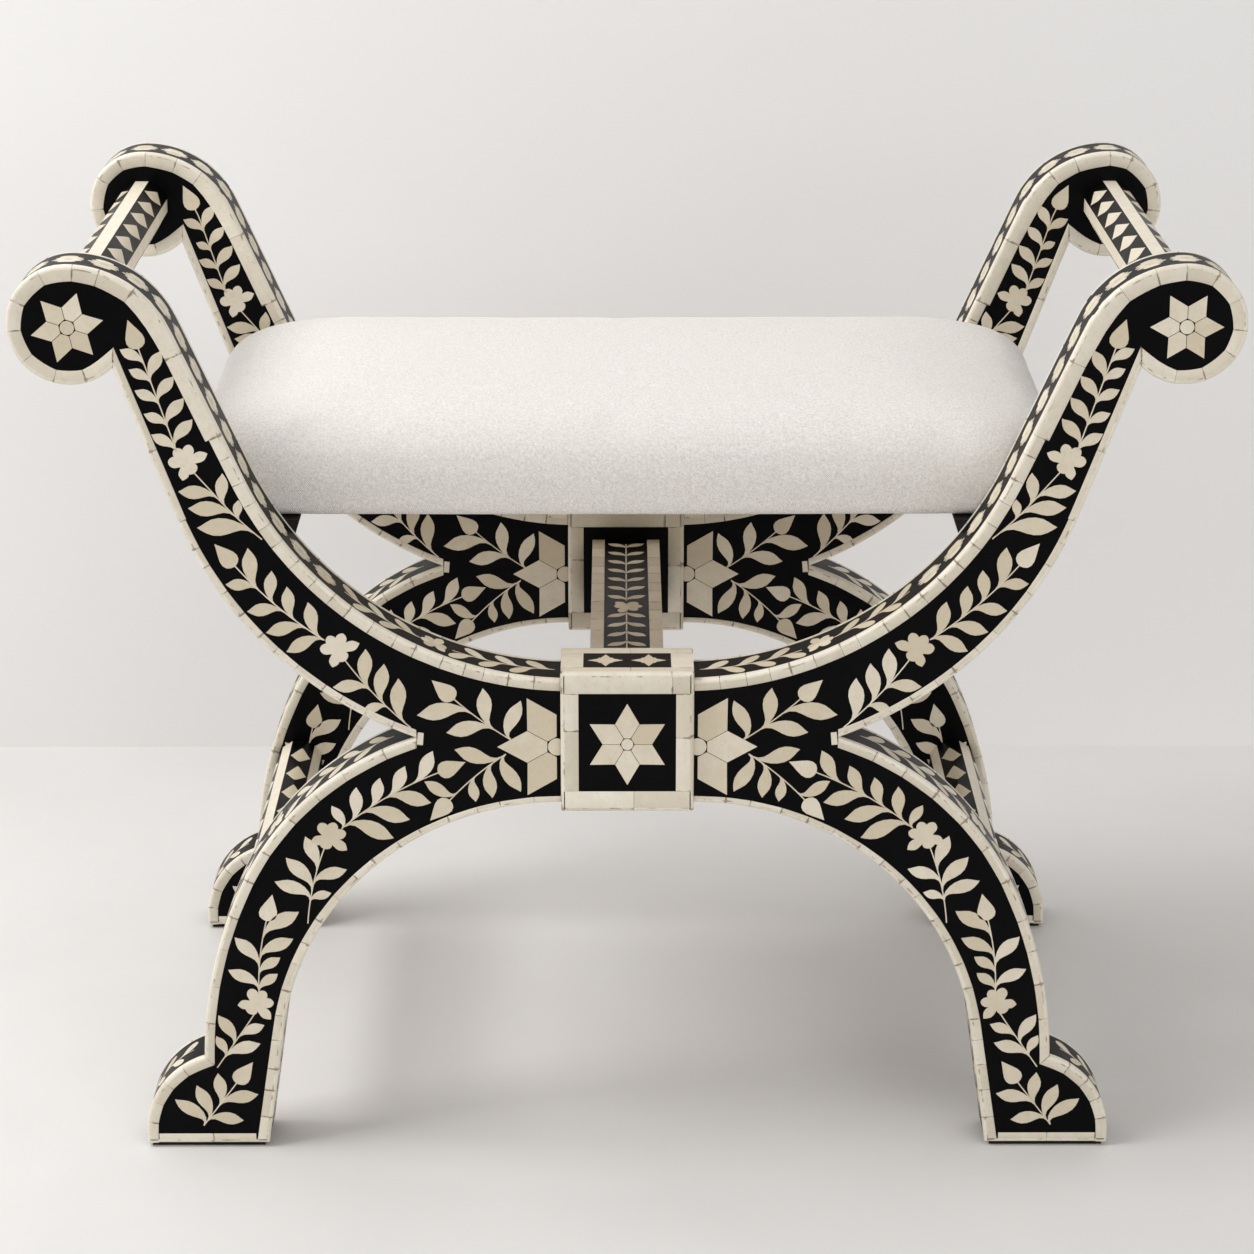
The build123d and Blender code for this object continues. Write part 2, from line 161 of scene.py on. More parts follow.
edges = {
    "seat_edge": line(
        cradle_arc,
        straight(cradle_arc[-1], shoulder_arc[0]),
        shoulder_arc,
        arc(scroll, scroll_radius, 90, notch_angle - 90),
    ),
    "back_edge": line(
        straight(notch, back_top), arc(back, back_radius, back_turn - 90, back_end - back_turn + 90)
    ),
    "leg_edge": line(
        arc(knee, knee_radius, knee_start, shin_angle - knee_start),
        arc(shin, shin_radius, shin_angle, ankle_angle - shin_angle),
        straight((ankle_x, shin[1] + shin_radius * math.sin(math.radians(ankle_angle))), ankle),
    ),
    "toe_edge": line(
        arc(toe, toe_radius, ankle_on_toe, -ankle_on_toe), straight(toe + (toe_radius, 0), toe_end)
    ),
    "sole_edge": line(straight(toe_end, heel)),
    "arch_edge": line(straight(heel, arch_foot), arch_arc),
}
for name, edge in edges.items():
    print(name, round(edge["length"] / mm), "mm long")

# %% [markdown]
# ## Meshes from grids
# Nearly everything here is a small closed shell: a ring of points carried along a few stations. A
# batch of them is one array of pieces x stations x ring x xyz, so a hundred leaves are made at
# once.

# %% Closed shells
def wall_quads(rings, count):
    """The numbers of a tube's points, ring by ring, and the quads that join each ring to the next."""
    index = np.arange(rings * count).reshape(rings, count)
    beside = np.roll(index, -1, axis=1)
    return index, np.stack((index[:-1], beside[:-1], beside[1:], index[1:]), -1).reshape(-1, 4)


def shells(grid, tone, joint=0.0):
    """Quads for a batch of closed shells. Rings are joined station by station, the ends are filled
    by quads across the ring, and a shell whose volume comes out negative is turned round."""
    pieces, stations, ring = grid.shape[:3]
    index, walls = wall_quads(stations, ring)
    first = np.arange(ring // 2 - 1)
    cap = np.stack((first, first + 1, ring - 2 - first, ring - 1 - first), -1)
    quads = np.concatenate((walls, index[0][cap][:, ::-1], index[-1][cap]))
    points = grid.reshape(pieces, -1, 3)
    a, b, c, d = ((points - points.mean(1, keepdims=True))[:, quads[:, k]] for k in range(4))
    volume = (np.cross(a, b) * c + np.cross(a, c) * d).sum((1, 2))
    faces = quads + np.arange(pieces)[:, None, None] * stations * ring
    faces[volume < 0] = faces[volume < 0][:, :, ::-1]
    tones = np.broadcast_to(np.reshape(tone, (-1, 1)), (pieces, stations * ring))
    joints = np.broadcast_to(joint, (pieces, stations, ring))
    return points.reshape(-1, 3), faces.reshape(-1, 4), tones.ravel(), joints.ravel()


def ringed_mesh(name, rings):
    """A mesh of rings one behind the other, joined by quads, with a flat face at each end."""
    index, walls = wall_quads(*rings.shape[:2])
    faces = [*map(tuple, walls), tuple(index[0][::-1]), tuple(index[-1])]
    mesh = bpy.data.meshes.new(name)
    mesh.from_pydata(rings.reshape(-1, 3), [], faces)
    return mesh


def make(name, batches, material, replaced=(), sharp=40):
    """One object from batches of shells, with their tone and joint kept as attributes."""
    starts = np.cumsum([0] + [len(batch[0]) for batch in batches])
    points, tones, joints = (np.concatenate([batch[k] for batch in batches]) for k in (0, 2, 3))
    faces = np.concatenate([batch[1] + start for batch, start in zip(batches, starts)])
    mesh = bpy.data.meshes.new(name)
    mesh.from_pydata(points, [], faces)
    for attribute, values in (("tone", tones), ("joint", joints)):
        mesh.attributes.new(attribute, "FLOAT", "POINT").data.foreach_set("value", values)
    return place(name, mesh, material, replaced, sharp)


def place(name, mesh, material, replaced=(), sharp=40):
    """Puts a mesh into the scene as a piece of the stool, and prints how many faces it has."""
    mesh.shade_smooth()
    mesh.set_sharp_from_angle(angle=math.radians(sharp))
    piece = bpy.data.objects.new(name, mesh)
    bpy.context.scene.collection.objects.link(piece)
    piece.data.materials.append(material)
    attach(piece, "root")
    if replaced:
        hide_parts(*replaced)
    print(name, len(mesh.polygons), "faces")
    return piece


# %% [markdown]
# ## Materials
# Colours are written as sRGB hex values and turned to linear once. One helper adds a node with its
# settings and links, so a material reads as a short recipe.

# %% Helpers for materials
def colour(code):
    """Linear RGBA of an sRGB hex colour."""
    levels = np.array([int(code[k : k + 2], 16) for k in (1, 3, 5)]) / 255
    linear = np.where(levels <= 0.04045, levels / 12.92, ((levels + 0.055) / 1.055) ** 2.4)
    return (*linear.tolist(), 1.0)


def node(tree, kind, inputs, **settings):
    """Adds a node. Settings are its properties. Inputs give each socket a value, a link or a node,
    which stands for the first of its outputs that is in use."""
    made = tree.nodes.new("ShaderNode" + kind)
    for name, value in settings.items():
        setattr(made, name, value)
    for socket, value in inputs.items():
        if isinstance(value, bpy.types.Node):
            value = next(output for output in value.outputs if output.enabled)
        if isinstance(value, bpy.types.NodeSocket):
            tree.links.new(value, made.inputs[socket])
        else:
            made.inputs[socket].default_value = value
    return made


def new_material(name):
    """An empty material, the tree to fill, and the Object coordinates that place its patterns."""
    material = bpy.data.materials.new(name)
    material.use_nodes = True
    tree = material.node_tree
    tree.nodes.clear()
    return material, tree, node(tree, "TexCoord", {}).outputs["Object"]


def layered(tree, tint, layers):
    """Lays colours over a first one. A layer says its colour, the pattern that it follows, from where
    to where in the pattern it comes up, and to what share."""
    for layer, pattern, low, high, most in layers:
        ramp = {"Value": pattern, "From Min": low, "From Max": high, "To Max": most}
        shares = {0: node(tree, "MapRange", ramp), "A": tint, "B": colour(layer)}
        tint = node(tree, "Mix", shares, data_type="RGBA")
    return tint


def surfaced(material, surface):
    """The material, with its surface linked to the output."""
    node(material.node_tree, "OutputMaterial", {"Surface": surface})
    return material


# %% [markdown]
# ### Black resin
# Polyester resin, dyed black, cast round the bone and sanded flush. Sanding leaves it satin, with
# fine scratches, so the roughness is uneven and the colour is never quite a pure black.

# %% Black resin
def black_resin_material():
    """Cast resin, sanded: near black, IOR 1.5, satin, with a fine uneven sheen."""
    material, tree, spot = new_material("cast_black_resin")
    cloud = node(tree, "TexNoise", {"Vector": spot, "Scale": 1 / (25 * mm), "Detail": 4.0})
    grit = node(tree, "TexNoise", {"Vector": spot, "Scale": 1 / (0.8 * mm), "Detail": 2.0})
    shades = {0: cloud, "A": colour("#040405"), "B": colour("#0b0a0b")}
    resin = {
        "Base Color": node(tree, "Mix", shades, data_type="RGBA"),
        "Roughness": node(tree, "MapRange", {"Value": cloud, "To Min": 0.26, "To Max": 0.44}),
        "Normal": node(tree, "Bump", {"Height": grit, "Strength": 0.06, "Distance": 0.2 * mm}),
        "IOR": 1.5,
        "Specular IOR Level": 0.06,
    }
    return surfaced(material, node(tree, "BsdfPrincipled", resin))


black_resin = black_resin_material()
print("made", black_resin.name)

# %% [markdown]
# ### Bone
# Cattle or camel bone, boiled clean, sawn into thin plates and polished with the resin. It is
# cream, each plate a little different, with faint lengthwise streaks, small pores, and brown glue
# and resin in the joints. The tone attribute gives each plate its own shade, and the joint
# attribute is 1 at a piece's ends.

# %% Bone
def bone_material(name, light, deep, staining):
    """Polished bone: between light and deep by plate, with streaks, pores, and stains at the joints."""
    material, tree, spot = new_material(name)
    tone = node(tree, "Attribute", {}, attribute_name="tone").outputs["Fac"]
    joint = node(tree, "Attribute", {}, attribute_name="joint").outputs["Fac"]
    cloud = node(tree, "TexNoise", {"Vector": spot, "Scale": 1 / (9 * mm), "Detail": 5.0})
    blot = node(tree, "TexNoise", {"Vector": spot, "Scale": 1 / (6 * mm), "Detail": 2.0})
    pores = node(tree, "TexNoise", {"Vector": spot, "Scale": 1 / (0.7 * mm), "Detail": 2.0})
    drawn_out = {"Vector": spot, "Scale": 1 / (2.5 * mm), "Detail": 3.0, "Distortion": 1.2}
    streak = node(tree, "TexNoise", drawn_out)
    mixed = node(tree, "Math", {0: cloud, 1: 0.9, 2: tone}, operation="MULTIPLY_ADD")
    dirty = node(tree, "Math", {0: blot, 1: joint}, operation="MULTIPLY")
    layers = (
        (deep, mixed, 0.25, 1.25, 1.0),
        ("#b9a98c", streak, 0.52, 0.8, 0.3),
        ("#765a34", dirty, 0.43, 0.54, staining),
    )
    bone = {
        "Base Color": layered(tree, colour(light), layers),
        "Roughness": node(tree, "MapRange", {"Value": cloud, "To Min": 0.3, "To Max": 0.5}),
        "Normal": node(tree, "Bump", {"Height": pores, "Strength": 0.12, "Distance": 0.15 * mm}),
        "IOR": 1.54,
    }
    return surfaced(material, node(tree, "BsdfPrincipled", bone))


bone_edging = bone_material("polished_bone_edging", "#f3ecdc", "#d9cfbb", 0.65)
bone_inlay = bone_material("polished_bone_inlay", "#eae1ce", "#d3c6ac", 0.4)
print("made", bone_edging.name, "and", bone_inlay.name)

# %% [markdown]
# ### Dark wax
# The middles of the medallions are scored with a knife, and the cuts are rubbed with dark wax. They
# read as soft grey strokes, lighter than the resin, because the wax is thin and the bone shines
# through.

# %% Dark wax
def wax_material():
    """Thin wax in a cut: grey brown, uneven, fairly rough."""
    material, tree, spot = new_material("dark_wax")
    cloud = node(tree, "TexNoise", {"Vector": spot, "Scale": 1 / (2 * mm), "Detail": 2.0})
    shades = {0: cloud, "A": colour("#8d8578"), "B": colour("#b9b1a2")}
    tint = node(tree, "Mix", shades, data_type="RGBA")
    wax = {"Base Color": tint, "Roughness": 0.6, "IOR": 1.45}
    return surfaced(material, node(tree, "BsdfPrincipled", wax))


dark_wax = wax_material()
print("made", dark_wax.name)

# %% [markdown]
# ## Black members
# Each arm and leg is sawn and cast to its outline, 38 mm thick. The resin is drawn in by a hair, so
# the bone stands just proud of it, and the sides are smooth rather than faceted. The resin's
# corners are taken off, because rounded beads of bone lie over them and no black may show past a
# bead.

# %% Arms and legs
resin_inset = 0.15 * mm
resin_chamfer = 1.7 * mm
resin_half = half_thick - resin_inset
crotch_draw = 1.6
frames = {"front": -1, "rear": 1}
sides = {"left": -1, "right": 1}


def outlines(inset):
    """Outlines of the right arm and leg, drawn in by an inset and kept that far above the sole. The
    crotch moves by crotch_draw times what the inset adds, because two edges meet there at an angle."""
    drawn = {name: at(edge, edge["run"], inset) for name, edge in edges.items()}
    corner = np.array((block_half, crotch[1]))
    inner_crotch = crotch - (crotch_draw * (inset - resin_inset), 0)
    toe_corner = toe_end + (-inset, inset)
    heel_corner = heel + (inset, inset)
    arm = (drawn["seat_edge"], drawn["back_edge"], inner_crotch[None], corner[None])
    leg = (
        corner[None],
        inner_crotch[None],
        drawn["leg_edge"],
        drawn["toe_edge"][:-1],
        toe_corner[None],
        heel_corner[None],
        drawn["arch_edge"][1:],
    )
    shapes = {"arm": np.concatenate(arm), "leg": np.concatenate(leg)}
    for shape in shapes.values():
        shape[:, 1] = np.maximum(shape[:, 1], floor_pad + inset)
    return shapes


face_shapes, side_shapes = outlines(resin_inset + resin_chamfer), outlines(resin_inset)
layers = (
    (face_shapes, -resin_half),
    (side_shapes, resin_chamfer - resin_half),
    (side_shapes, resin_half - resin_chamfer),
    (face_shapes, resin_half),
)
for frame_name, toward in frames.items():
    for side_name, side in sides.items():
        for limb in ("arm", "leg"):
            name = f"{frame_name}_{side_name}_{limb}"
            rings = [
                np.insert(shapes[limb] * (side, 1), 1, toward * half_spacing + depth, axis=1)
                for shapes, depth in layers
            ]
            mesh = ringed_mesh(name + "_resin", np.array(rings)[:, ::side])
            place(name + "_resin", mesh, black_resin, [name], sharp=20)

# %% [markdown]
# ## Bone edging
# Every edge carries two rows of short bone pieces: flat plates on the face, and a narrow rounded
# bead on the corner that turns onto the edge. Both are sawn through at the same places. A plate is
# cut nearly straight on the inside, so a round scroll is edged by something near a polygon. Where
# two rows meet in a corner they are mitred.

# %% Ribbons
plate_proud = 0.08 * mm
plate_sunk = 0.6 * mm


def ribbon(centre, half, top=plate_proud, columns=(-1, 1)):
    """Plates as u, height, v: centre + n * half * column, where n is the centre line's left normal."""
    heading = unit(np.gradient(centre, axis=1))
    normal = np.stack((-heading[..., 1], heading[..., 0]), -1)
    across = np.r_[columns, columns[::-1]]
    flat = centre[:, :, None] + normal[:, :, None] * (half[..., None] * across)[..., None]
    heights = np.where(np.arange(len(across)) < len(columns), top, -plate_sunk)
    heights = np.broadcast_to(heights, flat.shape[:3])
    return np.stack((flat[..., 0], heights, flat[..., 1]), -1)


def level(runs, across=0):
    """Points at the given runs, all at one distance across."""
    return np.stack((runs, np.full_like(runs, across)), -1)


# %% Cuts and mitres
rng = np.random.default_rng(7)
proud = 0.12 * mm
joint_gap = 0.2 * mm
bead_width = 2.3 * mm
bead_round = 1.8 * mm
bead_low = 3 * mm
edge_deep = 4 * mm
plate_low = 1.2 * mm
soften = 0.2 * mm
chord_share = 0.45
glue_line = 0.4 * mm
glue_stain = 0.8
stain_fade = 1.6 * mm


def cuts(start, end, pitch, uneven=0.14):
    """Places to cut a row into pieces about one pitch long, none quite alike."""
    count = max(1, round((end - start) / pitch))
    places = np.linspace(start, end, count + 1)
    places[1:-1] += rng.uniform(-uneven, uneven, count - 1) * pitch
    return places


def mitre(heading_in, heading_out, width_in, width_out):
    """How far two rows run past a corner for each unit of depth, so that they meet on one cut."""
    inward = np.array(((heading_in[1], -heading_in[0]), (heading_out[1], -heading_out[0])))
    inner = np.linalg.solve(inward, (width_in, width_out))
    return inner @ heading_in / width_in, -(inner @ heading_out) / width_out


# %% Sections of a plate and of a bead
# Share of the row's width, depth to add, height over the face, and how stained. Glue stains a plate and
# a bead where they touch. The last two points of a plate lie a third apart on its underside.
plate_section = np.array(
    (
        (0, bead_width, -plate_low, 0),
        (0, bead_width, proud, glue_stain),
        (0, bead_width + glue_line, proud, 0),
        (1, -soften, proud, 0),
        (1, 0, proud - soften, 0),
        (1, 0, -plate_low, 0),
        (0.66, bead_width, -plate_low, 0),
        (0.33, bead_width, -plate_low, 0),
    )
)
bead_turn = np.radians((90, 120, 150, 180))
bead_curve = [
    (0, bead_round * (1 + math.cos(a)) - proud, proud - bead_round * (1 - math.sin(a)), stained)
    for a, stained in zip(bead_turn, (glue_stain, 0, 0, 0))
]
bead_section = np.array(
    [(0, bead_width, -bead_low, 0), (0, bead_width, proud, glue_stain)]
    + bead_curve
    + [(0, -proud, -edge_deep, 0), (0, bead_width, -edge_deep, 0)]
)


# %% Edging rows
def edging_row(path, places, widths, section, leans=(0, 0)):
    """A row of pieces along a line, cut at the given places: x, height, z, the tones and the stains.

    A point of the section at depth d keeps to that depth. The row runs from its start less lean * d to
    its end plus lean * d. The inner side of a plate is moved by chord_share towards the straight line
    between its ends. A joint's stain fades with the distance r from the cut: e^(-r / stain_fade)."""
    count = len(places) - 1
    share = (1 - np.cos(np.pi * np.linspace(0, 1, 7))) / 2
    start_width = np.interp(places[:-1], *widths)
    end_width = np.interp(places[1:], *widths)
    width = start_width[:, None] + (end_width - start_width)[:, None] * share
    depth = section[:, 0] * width[..., None] + section[:, 1]
    lean = np.zeros((2, count, 1, 1))
    lean[0, 0], lean[1, -1] = leans
    start = (places[:-1] + joint_gap / 2)[:, None, None] - lean[0] * depth
    end = (places[1:] - joint_gap / 2)[:, None, None] + lean[1] * depth
    run = start + (end - start) * share[None, :, None]
    flat = at(path, run, depth)
    inner = section[:, 0] == 1
    ends = flat[:, [0, -1]][:, :, inner]
    straight_cut = ends[:, :1] + (ends[:, 1:] - ends[:, :1]) * share[None, :, None, None]
    flat[:, :, inner] += chord_share * (straight_cut - flat[:, :, inner])
    heights = np.broadcast_to(section[:, 2], flat.shape[:3])
    grid = np.stack((flat[..., 0], heights, flat[..., 1]), -1)
    reach = np.minimum(run - run[:, :1], run[:, -1:] - run)
    stains = np.maximum(np.exp(-reach / stain_fade), section[:, 3])
    return grid, rng.uniform(size=count), stains


def on_face(grid, side, face_y, outward):
    """Moves a flat design (x, height, z) of the right half onto a face of either half."""
    moved = grid.copy()
    moved[..., 0] *= side
    moved[..., 1] = face_y + outward * grid[..., 1]
    return moved


# %% Where the rows are cut, and how wide they are
def heading(name, end):
    """The heading at the first point (0) or the last point (-1) of an edge."""
    return edges[name]["heading"][end]


def row_widths(*pairs):
    """Runs along an edge and the widths of a row there, from pairs in millimetres. Between two runs the
    width changes evenly, and a row with one pair has that width all along."""
    return np.array(pairs).T * mm


lengths = {name: edge["length"] for name, edge in edges.items()}
notch_headings = heading("seat_edge", -1), heading("back_edge", 0)
ankle_headings = heading("leg_edge", -1), heading("toe_edge", 0)
# Plates are mitred for the widths of the two rows that meet
notch_leans = mitre(*notch_headings, 8.5 * mm, 5.5 * mm)
ankle_leans = mitre(*ankle_headings, 6 * mm, 7 * mm)
back_heading, leg_heading = heading("back_edge", -1), heading("leg_edge", 0)
crotch_leans = (-back_heading[1] / back_heading[0], leg_heading[1] / leg_heading[0])
# Long pieces go round the top of the scroll, from long_start to long_end
long_start = 266 * mm
long_end = long_start + 100 * mm
seat_widths = row_widths((0, 7), (120, 7.4), (266, 7.8))
scroll_end = lengths["seat_edge"] / mm
scroll_widths = row_widths((266, 10), (350, 9.8), (400, 9.1), (450, 8.6), (scroll_end, 8))
arch_widths = row_widths((0, 7.5), (90, 6.5), (220, 5), (lengths["arch_edge"] / mm, 4))
top_back_widths, back_widths = row_widths((0, 5.5)), row_widths((0, 5))
leg_widths, toe_widths, sole_widths = row_widths((0, 6)), row_widths((0, 7)), row_widths((0, 6.4))
print("round the top of the scroll, long pieces from run", long_start, "to", long_end)

# %% Rows of the edging
# Edge, first and last run, pitch of the cuts in millimetres, widths, and the lean of both ends
rows = (
    ("seat_edge", 0, long_start, 15, seat_widths, (0, 0)),
    ("seat_edge", long_start, long_end, 50, scroll_widths, (0, 0)),
    ("seat_edge", long_end, lengths["seat_edge"], 21, scroll_widths, (0, notch_leans[0])),
    ("back_edge", 0, 100 * mm, 48, top_back_widths, (notch_leans[1], 0)),
    ("back_edge", 100 * mm, lengths["back_edge"], 17, back_widths, (0, crotch_leans[0])),
    ("leg_edge", 0, lengths["leg_edge"], 24, leg_widths, (crotch_leans[1], ankle_leans[0])),
    ("toe_edge", 0, lengths["toe_edge"], 14, toe_widths, (ankle_leans[1], 0)),
    ("sole_edge", 7.5 * mm, lengths["sole_edge"] - 8 * mm, 30, sole_widths, (0, 0)),
    ("arch_edge", 0, lengths["arch_edge"], 17, arch_widths, (-heel_lean, 0)),
)
# Beads are equally wide on all edges, so they meet on other mitres than the plates, and under the sole
# they run on nearly to the corners
notch_bead_leans, ankle_bead_leans = mitre(*notch_headings, 1, 1), mitre(*ankle_headings, 1, 1)
bead_leans = {
    ("seat_edge", long_end): (0, notch_bead_leans[0]),
    ("back_edge", 0): (notch_bead_leans[1], 0),
    ("leg_edge", 0): (crotch_leans[1], ankle_bead_leans[0]),
    ("toe_edge", 0): (ankle_bead_leans[1], 0),
}
print(len(rows), "rows of plates and of beads on each half of a face")

# %% Lay the edging
sole_bead_margin = 1 * mm
# Lightest and deepest tone of the plates and of the beads
plate_tones, bead_tones = (0.25, 1), (0, 0.45)
# The short piece that closes the two rows at the crotch, from its upper to its lower end
crotch_end = crotch + np.array(((-2.6, 3.6), (-1.9, -4.4))) * mm
crotch_half = 1.8 * mm
crotch_tone = 0.4


def edging_batches(side, face_y, outward):
    """All edging of one half of one face: plates, beads and the short piece at the crotch."""
    batches = []
    for name, start, end, pitch, widths, leans in rows:
        places = cuts(start, end, pitch * mm)
        bead_places = places.copy()
        if name == "sole_edge":
            bead_places[[0, -1]] = sole_bead_margin, lengths[name] - sole_bead_margin
        for section, cut_at, lean, (light, deep) in (
            (plate_section, places, leans, plate_tones),
            (bead_section, bead_places, bead_leans.get((name, start), leans), bead_tones),
        ):
            grid, tone, joint = edging_row(edges[name], cut_at, widths, section, lean)
            tone = light + (deep - light) * tone
            batches.append(shells(on_face(grid, side, face_y, outward), tone, joint))
    stations = np.array((0, 0.15, 0.85, 1))[:, None]
    centre = crotch_end[0] + (crotch_end[1] - crotch_end[0]) * stations
    grid = ribbon(centre[None], np.full((1, 4), crotch_half), proud)
    joint = np.array((1, 0.4, 0.4, 1))[None, :, None]
    batches.append(shells(on_face(grid, side, face_y, outward), crotch_tone, joint))
    return batches


for frame_name, toward in frames.items():
    for face_name, outward in (("outer", toward), ("inner", -toward)):
        face_y = toward * half_spacing + outward * half_thick
        batches = edging_batches(1, face_y, outward) + edging_batches(-1, face_y, outward)
        rim = f"{frame_name}_frame_{face_name}_rim"
        make(f"{frame_name}_{face_name}_edging", batches, bone_edging, [rim], sharp=50)

# %% [markdown]
# ## Inlay
# The vines, stars and diamonds are thin plates sawn from bone. Each is a ribbon: a centre line with
# a half width at each station, raised a hair over the resin. A vine is written as a list of stems
# with the leaves on either side of each, and a leaf that would come too near the edging is made
# shorter.

# %% Leaves, buds and flowers
# Share of a leaf's length, and its half width there as a share of the widest: pointed, and with the
# blunt tip of the leaves on the edges
leaf_shape_shares = np.array(
    (
        (0, 0.07, 0.07),
        (0.12, 0.15, 0.15),
        (0.25, 0.34, 0.35),
        (0.38, 0.64, 0.66),
        (0.5, 0.89, 0.9),
        (0.62, 1, 1),
        (0.74, 0.91, 0.98),
        (0.84, 0.62, 0.88),
        (0.93, 0.27, 0.66),
        (1, 0.01, 0.3),
    )
)
bud_shape_shares = np.array(
    (
        (0, 0.12),
        (0.04, 0.5),
        (0.12, 0.84),
        (0.26, 1),
        (0.42, 0.93),
        (0.62, 0.64),
        (0.82, 0.3),
        (1, 0.01),
    )
)
leaf_half_least = 1.2 * mm
leaf_half_share = 0.125
bud_half_share = 0.31
# Shares of a leaf's length in which it follows the stem at its base, and points straight at its tip
along_stem, into_tip = 0.36, 0.32
# Plates that overlap are laid this much over each other
overlap_step = 0.004 * mm


def leaf(base, tip, setting_off, blunt=False):
    """Leaves that set off along the stem and then bend out to the tip, on a curve with four corners:
    (1 - t)^3 base + 3 t (1 - t)^2 near + 3 t^2 (1 - t) far + t^3 tip. The widest half width is
    leaf_half_least + leaf_half_share * length, and the shares give the rest."""
    reach = np.linalg.norm(tip - base, axis=1, keepdims=True)
    t = leaf_shape_shares[None, :, :1]
    near, far = base + setting_off * reach * along_stem, tip - (tip - base) * into_tip
    base, near, far, tip = (corner[:, None] for corner in (base, near, far, tip))
    centre = (1 - t) ** 3 * base + 3 * t * (1 - t) ** 2 * near + 3 * t**2 * (1 - t) * far + t**3 * tip
    half = leaf_shape_shares[:, 2 if blunt else 1] * (leaf_half_least + leaf_half_share * reach)
    return ribbon(centre, half)


def drop(base, tip):
    """Buds, round at the stem and pointed at the tip, as wide as a share of their length says."""
    reach = np.linalg.norm(tip - base, axis=1, keepdims=True)
    centre = base[:, None] + (tip - base)[:, None] * bud_shape_shares[None, :, :1]
    return ribbon(centre, bud_shape_shares[:, 1] * bud_half_share * reach)


petal_stations = np.array((0, 0.2, 0.4, 0.6, 0.75, 0.88, 0.96, 1))
round_petal = np.array((0.7, 0.75, 0.86, 1, 0.95, 0.72, 0.42, 0.08))
pointed_petal = np.array((0.7, 0.75, 0.85, 1, 0.92, 0.55, 0.2, 0.02))
# Petals of a flower: turn from the way it faces, length as a share of its radius, stations along the
# petal, and half widths there as shares of the radius
flower_petals = (
    (4, 0.8, petal_stations, round_petal * 0.26),
    (54, 0.86, petal_stations, round_petal * 0.26),
    (107, 1.08, petal_stations, pointed_petal * 0.25),
    (180, 0.62, petal_stations, round_petal * 0.3),
    (-128, 0.86, petal_stations, pointed_petal * 0.24),
    (-48, 0.8, petal_stations, round_petal * 0.27),
)


def flower(centre, facing, radius, petals=flower_petals):
    """Petals round a middle: ribbons that overlap, each a hair over the last."""
    grids = []
    for number, (turn, share, stations, half) in enumerate(petals):
        way = math.atan2(facing[1], facing[0]) + math.radians(turn)
        out = np.array((math.cos(way), math.sin(way)))
        petal = centre + stations[:, None] * share * radius * out
        grids.append(ribbon(petal[None], half[None] * radius, plate_proud + number * overlap_step))
    return np.concatenate(grids)


def inlay(name, batches, replaced=()):
    """One object of inlaid bone plates."""
    return make(name, batches, bone_inlay, replaced)


# %% Vines
# The room that the edging takes along each edge, in millimetres
rim_allow = {
    "seat_edge": 8.6,
    "back_edge": 5.2,
    "leg_edge": 6,
    "toe_edge": 7,
    "sole_edge": 6.4,
    "arch_edge": 6.6,
}
stem_half = 0.38 * mm
stem_proud = plate_proud + 0.01 * mm
bud_length = 18 * mm
flower_radius = 13 * mm
flower_ahead = 7.5 * mm
leaf_clear = 0.8 * mm
# Stems of the arms that start beyond this run, in millimetres, stand higher in the rear frame
top_stems_run = 200
rear_lift = 17


def clearance(points):
    """How far points are from the nearest edging: the distance to an edge less its row's width."""
    gaps = []
    for name, allow in rim_allow.items():
        away = np.linalg.norm(points[:, None] - edges[name]["points"][None], axis=2).min(1)
        gaps.append(away - allow * mm)
    return np.min(gaps, axis=0)


guides = {
    "arm": (edges["seat_edge"], 1),
    "leg": (line(edges["arch_edge"]["points"][::-1]), -1),
}

